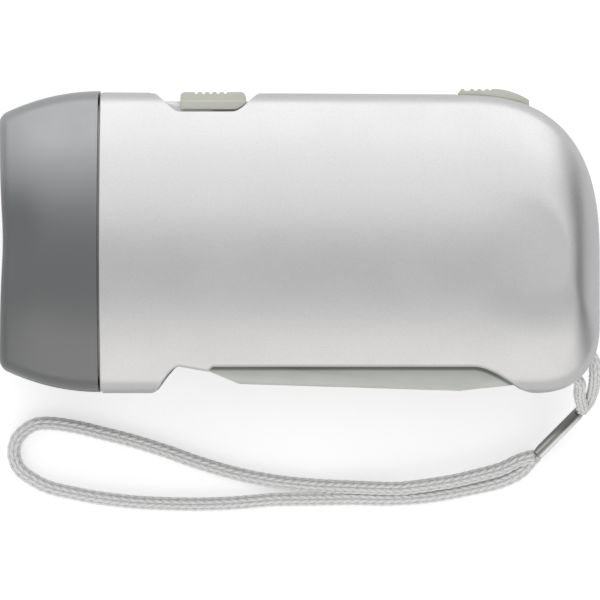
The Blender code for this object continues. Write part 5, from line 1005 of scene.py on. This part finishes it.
def case_bosses(side):
    """Tubes and blocks inside half the case: for screws, shafts, the lever's pin, battery and board.

    A tube runs from its foot to its top, or without one to 1 mm under the skin above it.
    """
    skin = case_skin(0.0).reshape(-1, 3)
    skin = skin[skin[:, 2] > 6]

    def tube(place, bore, radius, foot, top=None):
        away = np.hypot(skin[:, 0] - place[0], skin[:, 1] - place[1])
        under = skin[away < radius + 1.2, 2].min() - 1.0 if top is None else top
        return turned(post(radius, *levels(side, foot, under), bore), (place[0], place[1], 0), 40)

    shapes = []
    for screw in CASE_SCREWS:
        place = middle_of(screw)
        top = None if side > 0 else WELL_FLOOR
        shapes.append(tube(place, SCREW_BORE, SCREW_BOSS_RADIUS, BOSS_FOOT, top))
        if side < 0:
            shapes.append(tube(place, WELL_RADIUS, SCREW_BOSS_RADIUS, WELL_FLOOR))
    pin_low, pin_high = corners("lever_pivot_pin")
    shapes.append(tube(middle_of("lever_pivot_pin"), (pin_high[1] - pin_low[1]) / 2 + GAP, *PIN_BOSS))
    shapes.append(tube(middle_of("battery_pack"), 0, *CELL_POST))
    board_low, board_high = corners("circuit_board")
    foot, step, top = RIB_HEIGHTS
    for rib_x in (board_low[0] + RIB_INSET, board_high[0] - RIB_INSET - RIB_WIDTH):
        for low_y, high_y, low, high in (
            (board_low[1] - RIB_INSET, board_high[1] + RIB_INSET, step, top),
            (board_low[1] - RIB_INSET, board_low[1] - GAP, foot, step),
            (board_high[1] + GAP, board_high[1] + RIB_INSET, foot, step),
        ):
            z0, z1 = levels(side, low, high)
            shapes.append(box((rib_x, low_y, z0), (rib_x + RIB_WIDTH, high_y, z1)))
    if side > 0:
        return shapes

    gears = (("drive_gear", "drive_shaft"), ("second_gear", "second_shaft"), ("rotor_hub", "rotor_shaft"))
    for gear, shaft in gears:
        low, high = corners(shaft)
        foot = MIDDLE - corners(gear)[0][2] + GAP
        shapes.append(tube(middle_of(shaft), (high[0] - low[0]) / 2 + GAP, SHAFT_BOSS_RADIUS, foot))
    plate_foot = MIDDLE - corners("gear_plate")[0][2] + GAP
    for screw in PLATE_SCREWS:
        shapes.append(tube(middle_of(screw), *PLATE_POST, plate_foot))
    core_low, core_high = corners("stator_core")
    for y in (core_low[1] + CORE_POST_RADIUS, core_high[1] - CORE_POST_RADIUS):
        place = (middle_of("coil_bobbin")[0], y)
        shapes.append(tube(place, 0, CORE_POST_RADIUS, MIDDLE - core_low[2] + GAP))
    shapes.append(tube(middle_of("battery_pack"), *CELL_CRADLE))
    return shapes


def collar(side):
    """Half of the ring that reaches from the case into the head: a loop carried half round the oval."""
    front, rear = COLLAR_X
    head, case, inner = COLLAR_INSETS
    loop = [
        (front, head), (SEAM_X, head), (SEAM_X, case), (rear, case),
        (rear, inner), (front, inner), (front, head),
    ]
    half = (0.01, math.pi - 0.01) if side > 0 else (math.pi + 0.01, 2 * math.pi - 0.01)
    points, quads = oval(loop, 90, half)
    grid = points.reshape(len(loop), 90, 3)
    return [(points, quads), cap(grid[:, 0], False), cap(grid[:, -1], False)]


def eye_block(side):
    """Round block behind the strap's eye: its radius is held within the case's bottom corner."""
    centre_x, centre_y, _ = middle_of("strap_bar")
    corner_x, corner_y, power = BOTTOM_CORNER
    block_radius, top = EYE_BLOCK
    angle = np.linspace(0, 2 * np.pi, 72, endpoint=False)
    radius = np.linspace(0.6, block_radius, 90)[:, None]
    ahead = centre_x + radius * np.cos(angle) - LOW_CORNER_X
    under = BOTTOM_Y + corner_y - centre_y - radius * np.sin(angle)
    x = np.maximum(ahead, 0) / (corner_x - EYE_BLOCK_INSET)
    y = np.maximum(under, 0) / (corner_y - EYE_BLOCK_INSET)
    reach = np.where(x**power + y**power < 1, radius, 0.6).max(axis=0)
    inner, none = np.minimum(reach, EYE_RADIUS), np.zeros(72)
    low = np.where(reach > EYE_RADIUS + BOSS_FOOT, BOSS_FOOT, EYE_HALF)
    rows = [
        (inner, low), (reach, low), (reach, top), (none, top),
        (none, EYE_HALF), (inner, EYE_HALF), (inner, low),
    ]
    x = np.stack([centre_x + r * np.cos(angle) for r, _ in rows])
    y = np.stack([centre_y + r * np.sin(angle) for r, _ in rows])
    z = np.stack([MIDDLE + side * (off + none) for _, off in rows])
    return patch(np.dstack([x, y, z]), wrap=True)


class TORCH_OT_case(bpy.types.Operator):
    """Makes the two painted halves of the case"""

    bl_idname = "torch.case"
    bl_label = "Case halves"

    def execute(self, context):
        paint = satin_paint("satin_silver", context.scene.torch_colours.silver)
        give(case_half(1, "near_shell"), paint, "case", "case_near_half")
        give(case_half(-1, "far_shell"), paint, "case", "case_far_half")
        return {"FINISHED"}


class TORCH_OT_head(bpy.types.Operator):
    """Makes the smoky head and dresses the lens, reflector and lamps in it"""

    bl_idname = "torch.head"
    bl_label = "Head"

    def execute(self, context):
        colours = context.scene.torch_colours
        front, dimple = HEAD_FRONT_X, context.scene.torch_case.dimple
        outer = [(x, 0.0) for x in np.linspace(SEAM_X - GAP, front + HEAD_EDGE, 30)]
        turn = np.radians(np.linspace(0, 90, 8))[1:]
        outer += [(front + HEAD_EDGE * (1 - math.sin(a)), HEAD_EDGE * (1 - math.cos(a))) for a in turn]
        lip_x, lip_inset = front + HEAD_LIP[0], HEAD_LIP[1]
        inner = [(front, HEAD_WALL), (lip_x, lip_inset)]
        inner += [(x, HEAD_WALL) for x in np.linspace(lip_x, SEAM_X - GAP, 20)]
        bezel = solid("smoky_head", [oval([*outer, *inner, outer[0]], dimple=dimple)])
        give(bezel, smoky_plastic("smoky_head", colours.smoke), "case", "head_bezel")
        soften("front_lens", clear_plastic("clear_lens", (0.93, 0.95, 0.96)), 0.2)
        dress(rubber("lens_seal", (0.04, 0.04, 0.04)), "lens_seal")
        give(reflector_bowl(), mirror_metal("reflector_coat", (0.86, 0.87, 0.88)), "case", "reflector")
        dress(circuit_board("lamp_board", (0.03, 0.2, 0.08)), "lamp_board")
        for k, node in enumerate(LAMPS):
            give(lamp_body(node), clear_plastic(f"lamp_{k + 1}", (0.96, 0.96, 0.93)), "case", node)
        return {"FINISHED"}


def lamp_body(node):
    """A lamp: a rod with a round end over a thin flange, its profile carried round X."""
    low, high = corners(node)
    middle, flange = (low + high) / 2, (high[1] - low[1]) / 2
    length, radius = high[0] - low[0], LAMP_RADIUS
    turn = np.radians(np.linspace(0, 90, 12))
    profile = [(radius * math.sin(a), -length + radius * (1 - math.cos(a))) for a in turn]
    profile += [(radius, -1.0), (flange - 0.1, -1.0), (flange, -0.9)]
    profile += [(flange, -0.1), (flange - 0.1, 0), (0, 0)]
    return solid(node + "_dome", [turned(profile, (high[0], middle[1], middle[2]), 40, "X")])


def reflector_bowl():
    """The reflector: an oval sheet that dips into a parabola round each lamp, with a skirt behind it.

    The depth of a dip is that of the solids' cup at the distance from the lamp's axis.
    """
    low, high = corners("reflector")
    lamps = np.array([middle_of(node)[1:] for node in LAMPS])
    front, rear = low[0], high[0]
    tall, thick = head_size(front, REFLECTOR_INSET)
    angle = np.linspace(0, 2 * np.pi, 300, endpoint=False)
    share = np.linspace(0, 1, 110)[:, None]
    up, out = section(angle)
    y, z = tall * up * share, MIDDLE + thick * out * share
    away = np.sqrt((y[..., None] - lamps[:, 0]) ** 2 + (z[..., None] - lamps[:, 1]) ** 2).min(axis=-1)
    mouth, neck = CUP_RADII
    cup_rear = corners("led_1")[1][0] - LAMP_STANDOFF
    dip = np.clip((mouth - away) / (mouth - neck), 0, 1)
    depth = (1 - (1 - dip) ** 2) * (cup_rear - front)
    face = np.stack([front + depth, y, z], axis=-1)
    back = np.stack([front + depth + REFLECTOR_SHEET, y, z], axis=-1)[::-1]
    skirt = []
    for x, inset in ((rear, 0.0), (rear, SKIRT_WALL), (front + REFLECTOR_SHEET, SKIRT_WALL)):
        wide, deep = head_size(x, REFLECTOR_INSET + inset)
        skirt.append(np.stack([np.full(300, x), wide * up, MIDDLE + deep * out], axis=-1))
    grid = np.concatenate([face, np.stack(skirt), back])
    return solid("reflector_bowl", [patch(grid, wrap=True)])


class TORCH_OT_controls(bpy.types.Operator):
    """Dresses the lever, the two sliders and what they carry"""

    bl_idname = "torch.controls"
    bl_label = "Lever and sliders"

    def execute(self, context):
        colours = context.scene.torch_colours
        soften("squeeze_lever", lever_plastic("lever_plastic", colours.lever), 0.12)
        soften("power_slider", moulded_plastic("slider_plastic", colours.slider), 0.12)
        soften("lock_slider", moulded_plastic("lock_plastic", colours.slider), 0.12)
        dress(moulded_plastic("knob_plastic", (0.02, 0.02, 0.02), 0.5), "switch_knob")
        dress(bright_metal("pin_steel", (0.62, 0.62, 0.63), 0.25, (1, 1, 0.05)), "lever_pivot_pin")
        dress(bright_metal("spring_steel", (0.55, 0.55, 0.56), 0.3, (1, 1, 1)), "lever_return_spring")
        return {"FINISHED"}


class TORCH_OT_works(bpy.types.Operator):
    """Dresses the gears, generator, battery, switch and wires"""

    bl_idname = "torch.works"
    bl_label = "Inner works"

    def execute(self, context):
        gear = moulded_plastic("gear_plastic", (0.75, 0.74, 0.68), 0.42)
        dress(gear, "drive_gear", "second_gear", "rotor_hub")
        steel = bright_metal("shaft_steel", (0.64, 0.64, 0.65), 0.2, (1, 1, 0.05))
        dress(steel, "drive_shaft", "second_shaft", "rotor_shaft")
        dress(bright_metal("flywheel_zinc", (0.5, 0.48, 0.42), 0.35, (1, 1, 1)), "flywheel")
        dress(dark_ferrite("ring_magnet", (0.1, 0.1, 0.11)), "ring_magnet")
        dress(bright_metal("core_sheets", (0.36, 0.36, 0.38), 0.42, (0.05, 0.05, 1), 0.35), "stator_core")
        dress(moulded_plastic("bobbin_plastic", (0.03, 0.03, 0.035), 0.5), "coil_bobbin")
        dress(wound_wire("coil_wire", (0.62, 0.25, 0.1)), "coil_winding")
        dress(moulded_plastic("plate_plastic", (0.1, 0.1, 0.105), 0.5), "gear_plate")
        zinc = bright_metal("screw_zinc", (0.6, 0.6, 0.62), 0.3, (1, 1, 0.3))
        dress(zinc, *PLATE_SCREWS, *CASE_SCREWS)
        dress(bright_metal("switch_case", (0.58, 0.58, 0.6), 0.35, (0.05, 1, 1)), "slide_switch")
        dress(circuit_board("charge_board", (0.03, 0.2, 0.08)), "circuit_board")
        dress(moulded_plastic("chip_plastic", (0.015, 0.015, 0.015), 0.4), "charge_chip")
        dress(shrink_sleeve("cell_sleeve", (0.1, 0.32, 0.14)), "battery_pack")
        red, black = (0.5, 0.03, 0.02), (0.02, 0.02, 0.02)
        for node, colour in (("lamp_lead", red), ("battery_lead", red), ("coil_lead", black)):
            dress(wire_sleeve(node + "_vinyl", colour), node)
        return {"FINISHED"}


class TORCH_OT_strap(bpy.types.Operator):
    """Makes the braided cord and dresses the bar and crimp that hold it"""

    bl_idname = "torch.strap"
    bl_label = "Wrist strap"

    def execute(self, context):
        sizes, colours = context.scene.torch_cord, context.scene.torch_colours
        yarn = woven_yarn("cord_yarn", colours.yarn, (0.36, 0.37, 0.33))
        stitch = (sizes.pitch, sizes.depth)
        thick = sizes.thickness
        wrist, line, length = braid("wrist_cord", WRIST_ROUTE, sizes.width, thick, (0, 0, 1), *stitch)
        give(wrist, yarn, "case", "strap_wrist_loop")
        lean_up = (0.75, 0.3, -0.2)
        eye, eye_line, eye_length = braid("eye_cord", EYE_ROUTE, thick, thick, lean_up, *stitch)
        give(eye, yarn, "case", "strap_eye_loop")
        lean = math.atan2(EYE_ROUTE[0][1] - WRIST_ROUTE[0][1], EYE_ROUTE[0][0] - WRIST_ROUTE[0][0])
        crimp = soften("strap_crimp", folded_nickel("crimp_nickel", (0.8, 0.8, 0.78), lean), 0.06)
        dress(bright_metal("bar_steel", (0.62, 0.62, 0.63), 0.25, (1, 1, 0.05)), "strap_bar")
        return {"FINISHED"}


class TORCH_OT_stage(bpy.types.Operator):
    """Sets the pale floor, the soft lights and the camera"""

    bl_idname = "torch.stage"
    bl_label = "Stage"

    def execute(self, context):
        scene, settings = context.scene, context.scene.torch_stage
        x, y = np.meshgrid(np.linspace(-900, 900, 9), np.linspace(-900, 900, 9))
        floor = solid("floor", [patch(np.dstack([x, y, np.full(x.shape, -0.02)]))], outward=False)
        coat = Coat("floor_card", settings.floor, 0.9)
        white_to_camera(coat.shade(coat.noise(0.5, 3.0), 0.02), 0.5)
        floor.data.materials.append(coat.material)
        dark_card()

        world = bpy.data.worlds.new("studio")
        scene.world = world
        world.use_nodes = True
        tree = world.node_tree
        ground = tree.nodes["Background"]
        ground.inputs["Color"].default_value = (0.97, 0.98, 1.0, 1.0)
        path = tree.nodes.new("ShaderNodeLightPath")
        level = tree.nodes.new("ShaderNodeMapRange")
        level.inputs["To Min"].default_value, level.inputs["To Max"].default_value = 0.5, 1.0
        tree.links.new(path.outputs["Is Camera Ray"], level.inputs["Value"])
        tree.links.new(level.outputs["Result"], ground.inputs["Strength"])
        lamp("top_softbox", (0, 0.9, 0.42), (1.8, 0.8), 4.6)
        lamp("high_softbox", (-0.1, 0.45, 0.95), (1.6, 0.7), 2.1)
        low = lamp("low_softbox", (0, -0.86, 0.58), (1.8, 0.9), 3.5)
        low.data.color = (1.0, 0.975, 0.93)

        camera = bpy.data.cameras.new("camera")
        camera.sensor_width = 36.0
        camera.lens = settings.lens
        view = added("camera", camera)
        view.location = (0.12 * MM, -10.07 * MM, 1.0 + MIDDLE * MM)
        scene.camera = view
        scene.view_settings.view_transform = "Standard"
        return {"FINISHED"}


def dark_card():
    """A dark card past the tail: only the paint's reflections show it."""
    across, up = np.meshgrid(np.linspace(-250, 250, 3), np.linspace(-60, 260, 3), indexing="ij")
    card = solid("dark_card", [patch(np.dstack([np.full(up.shape, 420.0), across, up]))], outward=False)
    coat = Coat("card_felt", (0.015, 0.015, 0.016), 0.95)
    coat.shade(coat.noise(2.0, 3.0), 0.3)
    card.data.materials.append(coat.material)
    card.visible_camera = card.visible_diffuse = card.visible_shadow = card.visible_transmission = False
    return card


def white_to_camera(coat, strength):
    """Adds a plain white glow for the camera alone, so that a pale card reads as white."""
    seen = coat.node("ShaderNodeLightPath").outputs["Is Camera Ray"]
    level = coat.node("ShaderNodeMath", seen, strength, operation="MULTIPLY").outputs[0]
    glow = coat.node("ShaderNodeEmission", Strength=level)
    both = coat.node("ShaderNodeAddShader", coat.shader.outputs["BSDF"], glow.outputs[0])
    coat.feed(both.outputs[0], coat.tree.nodes["Material Output"].inputs["Surface"])


def lamp(name, place, size, power):
    """A softbox at place that faces the torch."""
    light = bpy.data.lights.new(name, "AREA")
    light.shape = "RECTANGLE"
    light.size, light.size_y = size
    light.energy = power
    obj = added(name, light)
    obj.location = place
    way = np.array(place, float) - (0, -0.01, 0.02)
    across = math.atan2(way[1], way[2])
    obj.rotation_euler = (-across, math.atan2(way[0], math.hypot(way[1], way[2])), 0)
    return obj


OPERATORS = (
    TORCH_OT_case, TORCH_OT_head, TORCH_OT_controls, TORCH_OT_works, TORCH_OT_strap, TORCH_OT_stage,
)
GROUPS = (
    ("torch_case", TorchCase), ("torch_colours", TorchColours),
    ("torch_cord", TorchCord), ("torch_stage", TorchStage),
)


class TORCH_PT_panel(bpy.types.Panel):
    """Lists what the torch is made of"""

    bl_label = "Torch"
    bl_space_type = "VIEW_3D"
    bl_region_type = "UI"
    bl_category = "Torch"

    def draw(self, context):
        for operator in OPERATORS:
            self.layout.operator(operator.bl_idname)


def register():
    for name, group in GROUPS:
        bpy.utils.register_class(group)
        setattr(bpy.types.Scene, name, bpy.props.PointerProperty(type=group))
    for part in (*OPERATORS, TORCH_PT_panel):
        bpy.utils.register_class(part)


def unregister():
    for part in reversed((*OPERATORS, TORCH_PT_panel)):
        bpy.utils.unregister_class(part)
    for name, group in reversed(GROUPS):
        delattr(bpy.types.Scene, name)
        bpy.utils.unregister_class(group)


def main():
    register()
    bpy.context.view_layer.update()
    for operator in OPERATORS:
        group, name = operator.bl_idname.split(".")
        getattr(getattr(bpy.ops, group), name)()


if __name__ == "__main__":
    main()
